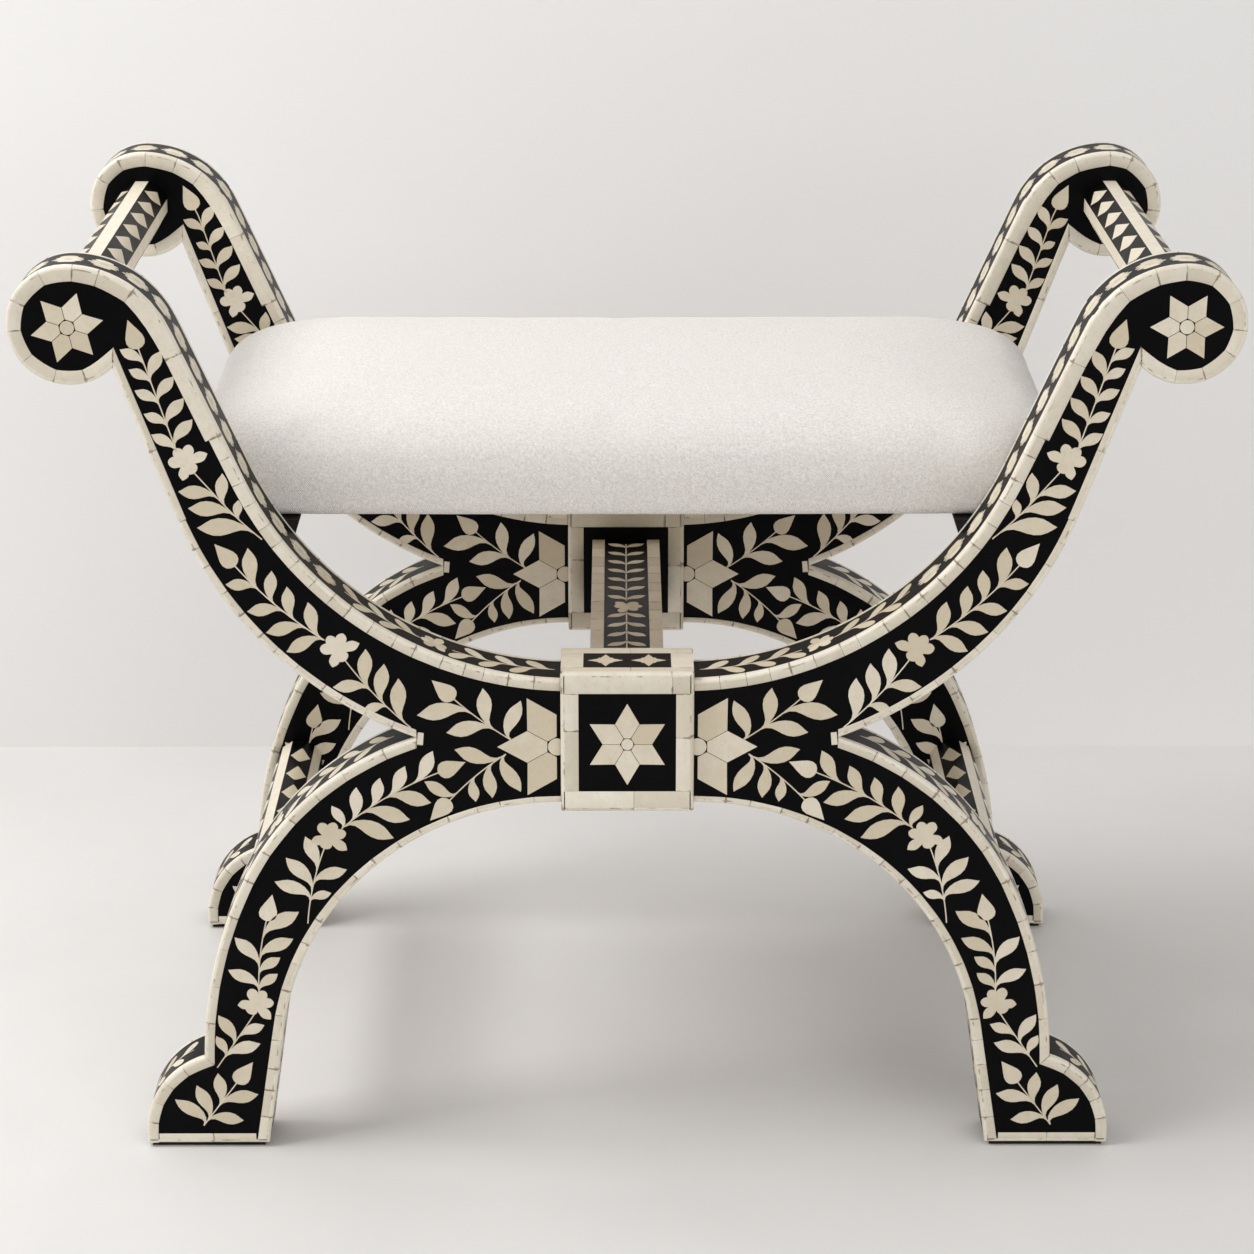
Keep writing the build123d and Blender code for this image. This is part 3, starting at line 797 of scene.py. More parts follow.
# %% Stems of the vines
# In millimetres: guide, run and depth at the base, run and depth at the tip, and then the leaves on the
# deep side and on the near side, each with its share along the stem, its length and the angle at which
# it leaves the stem, in degrees
stems = (
    (
        ("arm", 267, 28, 332, 21, "bud"),
        ((0, 19, 36), (0.24, 16, 41), (0.45, 17, 39), (0.66, 17, 38), (0.84, 17, 38)),
        ((0.05, 20, 50), (0.25, 20, 48), (0.48, 20, 48), (0.68, 20, 37)),
    ),
    (
        ("arm", 200, 9, 252, 24.5, "flower"),
        ((0.1, 34, 36), (0.37, 28, 36), (0.61, 24, 38)),
        ((0.3, 20, 42), (0.5, 30, 38)),
    ),
    (
        ("arm", 135, 26, 196, 32, "bud"),
        ((0, 25, 52), (0.18, 29, 42), (0.42, 31, 39), (0.72, 23, 36)),
        ((0.03, 24, 37), (0.3, 22, 39), (0.53, 21, 44), (0.71, 27, 32)),
    ),
    (
        ("arm", 74, 49, 120, 29, "flower"),
        ((0.31, 24, 52), (0.57, 29, 44)),
        ((0.07, 29, 40), (0.36, 26, 44), (0.58, 26, 36)),
    ),
    (
        ("arm", 24, 41, 58, 23, "bud"),
        ((0.28, 29, 39), (0.67, 33, 41)),
        ((0, 26, 70), (0.29, 27, 41)),
    ),
    (
        ("leg", 28, 34, 64, 14, "bud"),
        ((0.06, 29, 44), (0.85, 21, 66)),
        ((0, 26, 75), (0.2, 25, 51), (0.5, 19, 48)),
    ),
    (
        ("leg", 123, 32, 64, 33, "bud"),
        ((0, 16, 70), (0.1, 23, 40), (0.31, 21, 35), (0.5, 23, 29), (0.75, 25, 32)),
        ((0.03, 31, 54), (0.22, 30, 44), (0.48, 28, 38)),
    ),
    (
        ("leg", 179, 8, 137, 30, "flower"),
        ((0.3, 25, 68), (0.43, 27, 46), (0.69, 24, 31)),
        ((0.29, 17, 56), (0.52, 23, 51)),
    ),
    (
        ("leg", 231, 19, 189, 31, "bud"),
        ((0.05, 23, 54), (0.36, 25, 40)),
        ((0.03, 17, 44), (0.26, 18, 45), (0.48, 25, 50), (0.76, 29, 41)),
    ),
    (
        ("leg", 283, 38, 243, 19, "flower"),
        ((0.2, 15, 52), (0.42, 22, 56)),
        ((0.18, 25, 33), (0.55, 19, 28)),
    ),
    (
        ("leg", 324, 42, 292, 25, "bud"),
        ((0, 25, 80), (0.12, 25, 50), (0.45, 23, 35)),
        ((0.1, 23, 52), (0.47, 26, 36)),
    ),
)
print(len(stems), "stems in the vines of one half of a face")


# %% Grow the vines
def cleared(centre):
    """The centre of a flower, moved by steps of half a millimetre until it clears the edging by its
    radius, or for sixteen steps."""
    turns = np.arange(12) * math.pi / 6
    around = np.stack((np.cos(turns), np.sin(turns)), -1) * 0.5 * mm
    for _ in range(16):
        if clearance(centre[None])[0] < flower_radius:
            centre = (centre + around)[np.argmax(clearance(centre + around))]
    return centre


def stem_leaves(stem, deeper, leaves, side):
    """Leaves on one side of a stem. A leaf that comes too near the edging is made shorter by a
    twenty-fifth, up to twelve times."""
    share = np.linspace(0, 1, len(stem))
    foot, length, turn = np.array(leaves, float).T
    base, ahead, out = (
        np.stack([np.interp(foot, share, column) for column in table.T], -1)
        for table in (stem, np.gradient(stem, axis=0), side * deeper)
    )
    ahead = unit(ahead)
    out = unit(out - ahead * (out * ahead).sum(1, keepdims=True))
    turn = np.radians(turn)[:, None]
    aim = np.cos(turn) * ahead + np.sin(turn) * out
    length = length[:, None] * mm
    for _ in range(12):
        tip = base + aim * length
        length = np.where(clearance(tip)[:, None] < leaf_clear, length * (1 - 1 / 25), length)
    return leaf(base, tip, ahead)


def vine_grids(lift=0):
    """Grids of every plate of the vines on the right half, as x, height, z. The stems at the top of
    the arm stand higher by the lift, in millimetres, and one of them then lacks its last leaf."""
    grids = []
    share = np.linspace(0, 1, 12)
    for (guide, base_run, base_depth, tip_run, tip_depth, end), deep_leaves, near_leaves in stems:
        path, hand = guides[guide]
        if lift and guide == "arm" and base_run >= top_stems_run:
            base_run, tip_run = base_run + lift, tip_run + lift
            if end == "bud":
                deep_leaves = deep_leaves[:-1]
        run = (base_run + (tip_run - base_run) * share) * mm
        depth = (base_depth + (tip_depth - base_depth) * share) * mm * hand
        stem = at(path, run, depth)
        grids.append(ribbon(stem[None], np.full((1, 12), stem_half), stem_proud))
        growing = unit(stem[-1] - stem[-2])
        if end == "bud":
            grids.append(drop(stem[-1:], stem[-1:] + growing * bud_length))
        else:
            grids.append(flower(cleared(stem[-1] + growing * flower_ahead), growing, flower_radius))
        deeper = at(path, run, depth + hand * mm) - stem
        grids.append(stem_leaves(stem, deeper, deep_leaves, 1))
        grids.append(stem_leaves(stem, deeper, near_leaves, -1))
    return grids


vine_plates = {"front": vine_grids(), "rear": vine_grids(rear_lift)}
print(len(vine_plates["front"]), "grids in the vines of one half")


# %% Lay the vines on the faces
def plates(grids, side, face_y, outward):
    """Closed shells of flat plates on one face."""
    return [shells(on_face(grid, side, face_y, outward), rng.uniform()) for grid in grids]


def resin_face(toward, outward):
    """Where along y a face of a frame's resin lies."""
    return toward * half_spacing + outward * resin_half


for frame_name, toward in frames.items():
    for face_name, outward in (("outer", toward), ("inner", -toward)):
        batches = []
        for side in (1, -1):
            batches += plates(vine_plates[frame_name], side, resin_face(toward, outward), outward)
        inlay(f"{frame_name}_{face_name}_vines", batches)

# %% [markdown]
# ### Stars
# Each scroll carries a star of six rhombic petals round a disc, turned a little on the left arms. A
# larger star stands on the face of the block, and half of a still larger one shows on either side
# of it. The petals are sawn straight, so a star is ribbons with three stations, and its disc is a
# ribbon as wide as a circle.

# %% Stars on the faces
scroll_star, scroll_star_disc = 21.5 * mm, 4.2 * mm
scroll_star_place = scroll - np.array((0, 1.2)) * mm
left_star_turn = 12
block_star, block_star_disc = 26 * mm, 3.6 * mm
block_star_place = np.array((0, 271.7)) * mm
block_half_deep = 24 * mm
side_star, side_star_disc = 36 * mm, 5.5 * mm
side_star_place = np.array((42.4, 268.3)) * mm
side_star_margin = 0.1 * mm
disc_gap = 0.35 * mm
disc_least = 0.1 * mm
petal_joint = 0.2 * mm
petal_tip = 0.05 * mm


def star_plates(centre, radius, turn, disc, keep=None):
    """A star: six rhombic petals round a disc. A petal's half width is r * tan 30 up to the middle of
    the petal and (R - r) * tan 30 beyond it, less half of the joint. Petals that point away from keep
    are left out."""
    slope = math.tan(math.radians(30))
    reach = np.array((disc + disc_gap, radius / 2, radius))
    half = np.array((reach[0] * slope - petal_joint, reach[1] * slope - petal_joint, petal_tip))
    grids = []
    for petal in range(6):
        angle = math.radians(turn + 60 * petal)
        out = np.array((math.cos(angle), math.sin(angle)))
        if keep is None or out @ keep > -0.1:
            grids.append(ribbon((centre + reach[:, None] * out)[None], half[None]))
    stations = (1 - np.cos(np.linspace(0, 1, 11) * np.pi)) / 2
    across = (stations * 2 - 1) * disc
    half = np.sqrt(np.clip(disc**2 - across**2, disc_least**2, None))
    grids.append(ribbon((centre + level(across))[None], half[None]))
    return grids


def side_star_grids():
    """The part of a big star that shows beside the block, cut off at the block's side."""
    grids = star_plates(side_star_place, side_star, 0, side_star_disc, np.array((1, 0)))
    for grid in grids:
        grid[..., 0] = np.maximum(grid[..., 0], block_half + side_star_margin)
    return grids


for frame_name, toward in frames.items():
    batches = []
    for side, turn in ((1, 0), (-1, -left_star_turn)):
        star = star_plates(scroll_star_place, scroll_star, turn, scroll_star_disc)
        batches += plates(star, side, resin_face(toward, toward), toward)
    inlay(f"{frame_name}_scroll_star_plates", batches, [f"{frame_name}_scroll_stars"])
    batches = []
    for outward in (toward, -toward):
        for side in (1, -1):
            batches += plates(side_star_grids(), side, resin_face(toward, outward), outward)
    inlay(f"{frame_name}_side_star_plates", batches, [f"{frame_name}_side_stars"])
    star = star_plates(block_star_place, block_star, 90, block_star_disc)
    batches = plates(star, 1, toward * (half_spacing + block_half_deep), toward)
    inlay(f"{frame_name}_block_star_plates", batches, [f"{frame_name}_block_star"])

# %% [markdown]
# ## Bands on the edges
# Between the two beads of an edge runs a black band, 30 mm wide. It is designed flat, as a run
# along the edge and a distance across it, and then wrapped round the edge. The scrolls and the tops
# of the arms carry serrated medallions. The cradle, legs, toes and arch carry stems with flowers
# and with leaves by turns on either side.

# %% Designs for the bands
band_leaf = np.array((16.5, 11.3)) * mm
band_stem_half = 0.45 * mm
band_flower_radius = 12 * mm
first_medallion, last_medallion_gap, medallion_pitch = 157 * mm, 12 * mm, 21 * mm
# Fingers of a medallion: offset across, shift along and half length, in millimetres
fingers = ((-6.2, 0.3, 5.2), (-3.2, -0.4, 7.9), (0, 0.3, 9.4), (3.2, -0.3, 8), (6.2, 0.4, 5.4))
# Stations of a finger, as shares of its half length, and its half widths there
finger_stations = np.array((-1, -0.9, -0.76, -0.5, 0, 0.5, 0.76, 0.9, 1))
finger_halves = np.array((0.35, 0.85, 1.3, 1.75, 1.9, 1.75, 1.3, 0.85, 0.35)) * mm
# Lines cut into a medallion: offset across and half length, in millimetres, and half widths
scored_lines = ((-1.7, 1.8), (0, 2.9), (1.7, 2))
scored_halves = np.array((0.05, 0.17, 0.05)) * mm
scored_proud = plate_proud + 0.03 * mm


def sprays(start, stop, pitch=19 * mm, reach=band_leaf, blunt=True):
    """A stem from start to stop with leaves: base at (run, 0), tip at (run + ahead, +-across). Blunt
    leaves stand by turns on one side and the other, half a pitch apart, and pointed ones in pairs.
    The first starts half a millimetre in, and the last may pass the stop by one millimetre."""
    way = 1 if stop > start else -1
    feet = start + way * np.arange(0.5 * mm, abs(stop - start) - reach[0] + 1 * mm, pitch / 2)
    stem_run = np.linspace(start, feet[-1] + way * reach[0] * 0.9, 14)
    grids = [ribbon(level(stem_run)[None], np.full((1, 14), band_stem_half))]
    for hand in (1, -1):
        base = level(feet[1::2] if blunt and hand < 0 else feet[::2])
        tip = base + (way * reach[0], hand * reach[1])
        grids.append(leaf(base, tip, np.array(((way, 0),)), blunt))
    return grids


def medallion(run):
    """Five blunt fingers side by side, each a ribbon that narrows at both ends."""
    grids = []
    for number, (across, shift, reach) in enumerate(fingers):
        centre = level(run + (shift + finger_stations * reach) * mm, across * mm)
        grids.append(ribbon(centre[None], finger_halves[None], plate_proud + number * overlap_step))
    return grids


def strokes(run):
    """Fine lines cut into the middle of a medallion and filled with dark wax."""
    grids = []
    for across, reach in scored_lines:
        centre = level(run + np.array((-reach, 0, reach)) * mm, across * mm)
        grids.append(ribbon(centre[None], scored_halves[None], scored_proud))
    return grids


def band_flower(run, way=1):
    """A flower in the middle of a band that faces along it."""
    return [flower((run, 0), (way, 0), band_flower_radius)]


# %% Wrap the bands round the edges
def on_edge(grid, path, side, middle):
    """Wraps a flat design (run, height, across) onto an edge: its height is measured from the resin."""
    flat = at(path, grid[..., 0], resin_inset - grid[..., 1])
    return np.stack((side * flat[..., 0], middle + grid[..., 2], flat[..., 1]), -1)


bands = {
    "seat_edge": sprays(4 * mm, 68 * mm) + band_flower(78 * mm) + sprays(88 * mm, 146 * mm),
    "leg_edge": sprays(16 * mm, 100 * mm)
    + band_flower(110 * mm)
    + sprays(121 * mm, lengths["leg_edge"]),
    "toe_edge": sprays(lengths["toe_edge"] - 3 * mm, 3 * mm, 17 * mm, np.array((13, 10)) * mm),
    "arch_edge": sprays(6 * mm, 150 * mm) + band_flower(160 * mm) + sprays(171 * mm, 324 * mm),
    "back_edge": sprays(lengths["back_edge"] - 14 * mm, 165 * mm)
    + band_flower(155 * mm, -1)
    + sprays(144 * mm, 8 * mm),
}
engraving = []
last_medallion = lengths["seat_edge"] - last_medallion_gap
for run in np.arange(first_medallion, last_medallion, medallion_pitch):
    bands["seat_edge"] += medallion(run)
    engraving += strokes(run)
print(sum(map(len, bands.values())), "batches of plates in the bands of one side")

for frame_name, toward in frames.items():
    middle = toward * half_spacing
    for side_name, side in sides.items():
        batches = [
            shells(on_edge(grid, edges[name], side, middle), rng.uniform(size=len(grid)))
            for name, grids in bands.items()
            for grid in grids
        ]
        inlay(f"{frame_name}_{side_name}_edge_bands", batches)
        batches = [shells(on_edge(grid, edges["seat_edge"], side, middle), 0.5) for grid in engraving]
        make(f"{frame_name}_{side_name}_medallion_lines", batches, dark_wax)

# %% [markdown]
# ## Centre blocks
# Each block is a black core in a bone casing. Its face is edged like the frames, with wide strips
# and a rounded bead, and its top has a border round a black panel with two small four-pointed
# stars.

# %% Block casings
block_bottom = 228.5 * mm
block_top = 317 * mm
casing_side = 10.7
casing_end = 13
casing_deep = 4 * mm
casing_bead_margin = 0.6 * mm
top_proud = 0.05 * mm
top_cut = 2 * mm
panel_half = np.array((26.5, 13)) * mm
corners = np.array(((-1, block_top), (1, block_top), (1, block_bottom), (-1, block_bottom)))
corners[:, 0] *= block_half
block_lines = [line(straight(corners[k], corners[(k + 1) % 4])) for k in range(4)]
# Rows round a block's face: line, cuts as shares of it, width in millimetres, and margin at its ends
block_rows = (
    (block_lines[0], (0, 0.84, 1), casing_end, 0),
    (block_lines[1], (0, 0.45, 1), casing_side, casing_end * mm),
    (block_lines[2], (0, 0.45, 1), casing_end, 0),
    (block_lines[3], (0, 0.62, 1), casing_side, casing_end * mm),
)


def slab(low, high, axis):
    """A straight plate as a shell along one axis, with its joint attribute high at both ends."""
    share = np.array((0, 0.06, 0.5, 0.94, 1))
    joint = np.array((1, 0.2, 0, 0.2, 1))[None, :, None]
    low, high = np.array(low), np.array(high)
    first, second = (k for k in range(3) if k != axis)
    grid = np.empty((1, 5, 4, 3))
    grid[..., axis] = (low[axis] + (high - low)[axis] * share)[:, None]
    grid[..., first] = low[first] + (high - low)[first] * np.array((0, 1, 1, 0))
    grid[..., second] = low[second] + (high - low)[second] * np.array((0, 0, 1, 1))
    return shells(grid, rng.uniform(), joint)


def casing_batches(middle, toward):
    """Strips and beads on both faces of a block, and the border of its top."""
    batches = []
    for outward in (toward, -toward):
        face_y = middle + outward * block_half_deep
        for path, shares, width, margin in block_rows:
            for section, left in ((plate_section, margin), (bead_section, casing_bead_margin)):
                places = left + (path["length"] - 2 * left) * np.array(shares)
                grid, tone, joint = edging_row(path, places, row_widths((0, width)), section)
                batches.append(shells(on_face(grid, 1, face_y, outward), tone, joint))
    low_z, high_z = block_top - casing_deep, block_top + top_proud
    half_gap = joint_gap / 2
    bead_y = block_half_deep - casing_deep
    for end in (1, -1):
        near, far = sorted(middle + end * y for y in (panel_half[1] + half_gap, bead_y - half_gap))
        for left, right in ((-block_half, top_cut), (top_cut + joint_gap, block_half)):
            batches.append(slab((left, near, low_z), (right, far, high_z), 0))
        near, far = sorted((end * panel_half[0], end * block_half))
        front, rear = middle - panel_half[1], middle + panel_half[1]
        batches.append(slab((near, front, low_z), (far, rear, high_z), 1))
    return batches


for frame_name, toward in frames.items():
    batches = casing_batches(toward * half_spacing, toward)
    casing = f"{frame_name}_block_casing"
    make(f"{frame_name}_block_edging", batches, bone_edging, [casing], sharp=50)

# %% Small stars on top of the blocks
top_star_radius = 10.5 * mm
top_star_places = (-13 * mm, 13 * mm)
top_star_stations = np.linspace(0, 1, 6)
long_petal = (1, top_star_stations, np.array((0.3, 0.3, 0.27, 0.2, 0.1, 0.01)))
short_petal = (0.56, top_star_stations, np.array((0.2, 0.2, 0.22, 0.22, 0.18, 0.07)))
# Four pointed petals in a cross and four small round ones between them
top_star_petals = [
    (45 * number, *(short_petal if number % 2 else long_petal)) for number in range(8)
]


def on_top(grid, top_z, middle):
    """Lays a flat design (x, height, y) onto a level surface."""
    return np.stack((grid[..., 0], middle + grid[..., 2], top_z + grid[..., 1]), -1)


for frame_name, toward in frames.items():
    batches = []
    for star_x in top_star_places:
        star = flower((star_x, 0), (1, 0), top_star_radius, top_star_petals)
        batches.append(shells(on_top(star, block_top, toward * half_spacing), rng.uniform()))
    inlay(f"{frame_name}_block_top_stars", batches)

# %% [markdown]
# ## Stretcher
# The stretcher joins the two blocks. Bone strips run along its four corners, and a leafy stem grows
# both ways from a flower at the middle of its top and its sides.

# %% Stretcher strips and leaves
stretcher_half = 23 * mm
stretcher_top = 295 * mm
stretcher_z = stretcher_top - stretcher_half
stretcher_reach = half_spacing - block_half_deep
stretcher_leaf = np.array((11, 12.4)) * mm
strip_wide = 8.5 * mm
strip_deep = 4 * mm
strip_long = 20 * mm
strip_outside = stretcher_half + 0.1 * mm
batches = []
for side in (1, -1):
    for end in (1, -1):
        places = cuts(-stretcher_reach, stretcher_reach, strip_long)
        low_x, high_x = sorted((side * (stretcher_half - strip_wide), side * strip_outside))
        low_z, high_z = sorted(
            stretcher_z + end * away for away in (stretcher_half - strip_deep, strip_outside)
        )
        for start, stop in zip(places[:-1], places[1:] - joint_gap):
            batches.append(slab((low_x, start, low_z), (high_x, stop, high_z), 1))
strips = make("stretcher_strips", batches, bone_edging, ["stretcher_edging"])
rounding = strips.modifiers.new("rounding", "BEVEL")
rounding.width = 0.4 * mm
rounding.segments = 2

stretcher_design = [
    *sprays(11 * mm, 141 * mm, 19 * mm, stretcher_leaf, False),
    *sprays(-11 * mm, -141 * mm, 19 * mm, stretcher_leaf, False),
    flower((0, 0), (0, 1), flower_radius),
]
batches = []
for grid in stretcher_design:
    run, height, across = grid[..., 0], grid[..., 1], grid[..., 2]
    for placed in (
        (across, run, stretcher_top + height),
        (across, run, stretcher_z - stretcher_half - height),
        (stretcher_half + height, run, stretcher_z + across),
        (-stretcher_half - height, run, stretcher_z + across),
    ):
        batches.append(shells(np.stack(placed, -1), rng.uniform(size=len(grid))))
inlay("stretcher_leaves", batches)

# %% [markdown]
# ## Rails
# The rails have twelve flats. Every third one is a bone strip, and the two flats between two strips
# make a black band with a ridge in the middle. A row of bone diamonds bends over each ridge.

# %% Diamonds on the rails
hand_rail_half = 16.25 * mm
leg_rail_half = 15.5 * mm
leg_rail = np.array((231, 129)) * mm
leg_rail_tilt = 12
diamond_pitch = 35 * mm
diamond_length = 25.5 * mm
diamond_margin = 9 * mm
diamond_beside = 1.1 * mm
diamond_least = 0.04 * mm
flat_turn = math.radians(15)


def on_ridge(grid, centre, half, angle):
    """Bends a flat design (run, height, across) over the ridge at an angle of a twelve-sided rail."""
    across = grid[..., 2:]
    hand = np.sign(np.round(across / mm, 4))
    facing = angle + hand * flat_turn
    normal = np.concatenate((np.cos(facing), np.sin(facing)), -1)
    sliding = np.concatenate((-np.sin(facing), np.cos(facing)), -1)
    ridge = half / math.cos(flat_turn) * np.array((math.cos(angle), math.sin(angle)))
    flat = centre + ridge + sliding * across + normal * grid[..., 1:2]
    return np.stack((flat[..., 0], grid[..., 0], flat[..., 1]), -1)


def diamonds(half):
    """A row of diamonds with bowed sides: half width = w * (1 - |2t - 1|^0.8)^0.75 over their length,
    so that the sides run nearly straight and only the two broad corners are eased."""
    stations = np.array((0, 0.03, 0.1, 0.2, 0.32, 0.42, 0.5, 0.58, 0.68, 0.8, 0.9, 0.97, 1))
    reach = half_spacing - half_thick - diamond_margin
    count = int(2 * reach / diamond_pitch)
    middles = (np.arange(count) - (count - 1) / 2) * diamond_pitch
    runs = middles[:, None] + (stations - 0.5) * diamond_length
    wide = 2 * half * math.tan(flat_turn) - diamond_beside
    shape = wide * (1 - np.abs(2 * stations - 1) ** 0.8) ** 0.75 + diamond_least
    return ribbon(level(runs), np.broadcast_to(shape, runs.shape), columns=(-1, 0, 1))


for side_name, side in sides.items():
    for rail, centre, half, turn in (
        ("hand_rail", scroll * (side, 1), hand_rail_half, 0),
        ("leg_rail", leg_rail * (side, 1), leg_rail_half, 45 + side * leg_rail_tilt),
    ):
        grid = diamonds(half)
        batches = [
            shells(on_ridge(grid, centre, half, math.radians(turn + 45 + 90 * quarter)), rng.uniform())
            for quarter in range(4)
        ]
        inlay(f"{side_name}_{rail}_diamonds", batches)

# %% [markdown]
# ## Linen
# Natural linen, plain woven from uneven yarn, off-white and matt. The slubs show as a nubby grain.
# The weave is drawn a little coarser than the real one, because a thread of 0.4 mm would vanish at
# this distance.

# %% Linen
def linen_material():
    """Woven linen: off-white, roughness near one, with a soft sheen. The bump is 3 * slub plus the
    product of two sine waves, one for each way of the threads, which the slub bends. The colour follows
    the same height, paler on the crests and darker in the hollows: partly the uneven yarn's own colour,
    partly painted shade in the hollows of the weave."""
    material, tree, spot = new_material("woven_linen")
    thread = 1.3 * mm
    uneven = {"Vector": spot, "Scale": 1 / (1.5 * mm), "Detail": 3.0, "Roughness": 0.65}
    slub = node(tree, "TexNoise", uneven)
    cloud = node(tree, "TexNoise", {"Vector": spot, "Scale": 1 / (60 * mm), "Detail": 3.0})
    apart = node(tree, "SeparateXYZ", {"Vector": spot})
    rise = {0: apart.outputs["Y"], 1: apart.outputs["Z"]}
    waves = []
    for axis in (apart.outputs["X"], node(tree, "Math", rise, operation="ADD")):
        turn = {0: axis, 1: 2 * math.pi / thread, 2: slub}
        bent = {0: slub, 1: 9.0, 2: node(tree, "Math", turn, operation="MULTIPLY_ADD")}
        wave = {0: node(tree, "Math", bent, operation="MULTIPLY_ADD")}
        waves.append(node(tree, "Math", wave, operation="SINE"))
    weave = node(tree, "Math", {0: waves[0], 1: waves[1]}, operation="MULTIPLY")
    height = node(tree, "Math", {0: slub, 1: 3.0, 2: weave}, operation="MULTIPLY_ADD")
    # The colour follows the height of the threads: near white on the crests, #cfc6bb in the hollows.
    # This is partly the uneven yarn's own colour and partly painted shade in the hollows of the weave.
    layers = (("#fffdfb", height, 0.5, 2.3, 1.0), ("#e9e3da", cloud, 0.35, 0.7, 0.2))
    cloth = {
        "Base Color": layered(tree, colour("#cfc6bb"), layers),
        "Roughness": 0.92,
        "Sheen Weight": 0.15,
        "Sheen Roughness": 0.5,
        "Normal": node(tree, "Bump", {"Height": height, "Strength": 0.5, "Distance": 0.4 * mm}),
    }
    return surfaced(material, node(tree, "BsdfPrincipled", cloth))


linen = linen_material()
print("made", linen.name)

# %% [markdown]
# ## Seat cushion
# The cushion is a board with foam and linen pulled over it: flat below, upright at the front, round
# at the top edge, and crowned. It starts as a grid of rounded rectangles, a little small. Cloth is
# then blown up by a light pressure, so the linen swells and pulls in at the corners as stuffed
# cloth does.

# %% Cushion form
seat_z = 400 * mm
cushion_half = np.array((273, 153.5)) * mm
cushion_most = np.array((269.5, 150)) * mm
cushion_corner = 48 * mm
cushion_clear = 0.35 * mm
pressed = 9 * mm
# Levels from the middle of the underside to the crown, in millimetres: how far drawn in along the
# seat's length and across it, and height. The ends are domed further in than the long sides.
cushion_levels = (
    (145, 145, 0),
    (80, 80, 0),
    (14, 8, 0),
    (10, 4.5, 0.6),
    (8, 3.5, 4),
    (4.5, 2.5, 12),
    (1, 1, 24),
    (2, 1.5, 32),
    (6, 3.5, 40),
    (14, 7.5, 46.5),
    (26, 14, 50.6),
    (44, 25, 54),
    (68, 46, 57.4),
    (98, 84, 60.6),
    (126, 118, 62),
    (148, 145, 62.3),
)


def rounded_rectangle(half, radius, steps=12):
    """Outline of a rectangle with round corners, one quarter after the other."""
    turns = np.radians(np.linspace(0, 90, steps))
    points = []
    for quarter in range(4):
        angle = turns + math.radians(90 * quarter)
        signs = np.sign((np.cos(angle.mean()), np.sin(angle.mean())))
        out = np.stack((np.cos(angle), np.sin(angle)), -1)
        points.append(signs * (half - radius) + out * radius)
    return np.concatenate(points)


def cushion_mesh():
    """Rings of the outline drawn in by each level. Where a level is drawn in by d, its corners have the
    cushion's corner radius less 0.3 * d, or a fifth of that radius where this is more."""
    rings = []
    for long_draw, cross_draw, height in cushion_levels:
        half = cushion_half - np.array((long_draw, cross_draw)) * mm
        radius = max(cushion_corner - cross_draw * mm * 0.3, cushion_corner * 0.2)
        outline = rounded_rectangle(half, min(radius, half.min() * 0.95))
        rings.append(np.column_stack((outline, np.full(len(outline), seat_z + height * mm))))
    return ringed_mesh("cushion_form", np.array(rings))


# %% Blow up the linen
def coordinates(mesh):
    """All vertices of a mesh as one array."""
    values = np.empty(len(mesh.vertices) * 3)
    mesh.vertices.foreach_get("co", values)
    return values.reshape(-1, 3)


def settled(piece):
    """A new mesh of what a piece looks like with its modifiers."""
    graph = bpy.context.evaluated_depsgraph_get()
    return bpy.data.meshes.new_from_object(piece.evaluated_get(graph))


cloth_frames = 20
cloth_pressure = 4
pressed_power = 1.8


def swollen_cushion(mesh, voxel=5 * mm, most=4.5 * mm):
    """The form remeshed, blown up as cloth for twenty frames, and held within a few millimetres. The
    lowest stretch is then pressed down on the board: rise = p * (rise / p)^1.8 below p."""
    piece = bpy.data.objects.new("cushion_cloth", mesh)
    bpy.context.scene.collection.objects.link(piece)
    remesh = piece.modifiers.new("voxels", "REMESH")
    remesh.mode = "VOXEL"
    remesh.voxel_size = voxel
    piece.data = settled(piece)
    piece.modifiers.clear()
    before = coordinates(piece.data)
    cloth = piece.modifiers.new("cloth", "CLOTH")
    cloth.settings.quality = 5
    cloth.settings.use_pressure = True
    cloth.settings.uniform_pressure_force = cloth_pressure
    cloth.settings.effector_weights.gravity = 0
    cloth.point_cache.frame_end = cloth_frames
    for step in range(1, cloth_frames + 1):
        bpy.context.scene.frame_set(step)
    after = coordinates(settled(piece))
    piece.modifiers.clear()
    bpy.context.scene.frame_set(1)
    move = after - before
    length = np.linalg.norm(move, axis=1, keepdims=True)
    print("linen swelled by up to", round(float(length.max()) / mm, 1), "mm")
    before = before + move * np.minimum(1, most / np.maximum(length, 1e-9))
    piece.data.vertices.foreach_set("co", before.ravel())
    smooth = piece.modifiers.new("soften", "SMOOTH")
    smooth.factor = 0.5
    smooth.iterations = 3
    rounder = piece.modifiers.new("finer", "SUBSURF")
    rounder.levels = rounder.render_levels = 1
    finished = settled(piece)
    bpy.data.objects.remove(piece)
    places = coordinates(finished)
    places[:, :2] = np.clip(places[:, :2], -cushion_most, cushion_most)
    rise = np.maximum(places[:, 2] - seat_z - cushion_clear, 0)
    low = rise < pressed
    rise[low] = pressed * (rise[low] / pressed) ** pressed_power
    places[:, 2] = seat_z + cushion_clear + rise
    finished.vertices.foreach_set("co", places.ravel())
    return finished


cushion = place("linen_cushion", swollen_cushion(cushion_mesh()), linen, ["seat_cushion"], 80)
print("cushion box", np.ptp(coordinates(cushion.data), axis=0).round(4))

# %% [markdown]
# ## Timber and rubber
# The bearers under the seat are softwood painted black, brushed on, so the grain still shows in a
# low relief. The seat board is birch plywood, pale, with its layers showing as thin lines at the
# edge. The loose tenons are beech, pinkish with short dark flecks. The pads under the feet are
# moulded black rubber, dull and even.

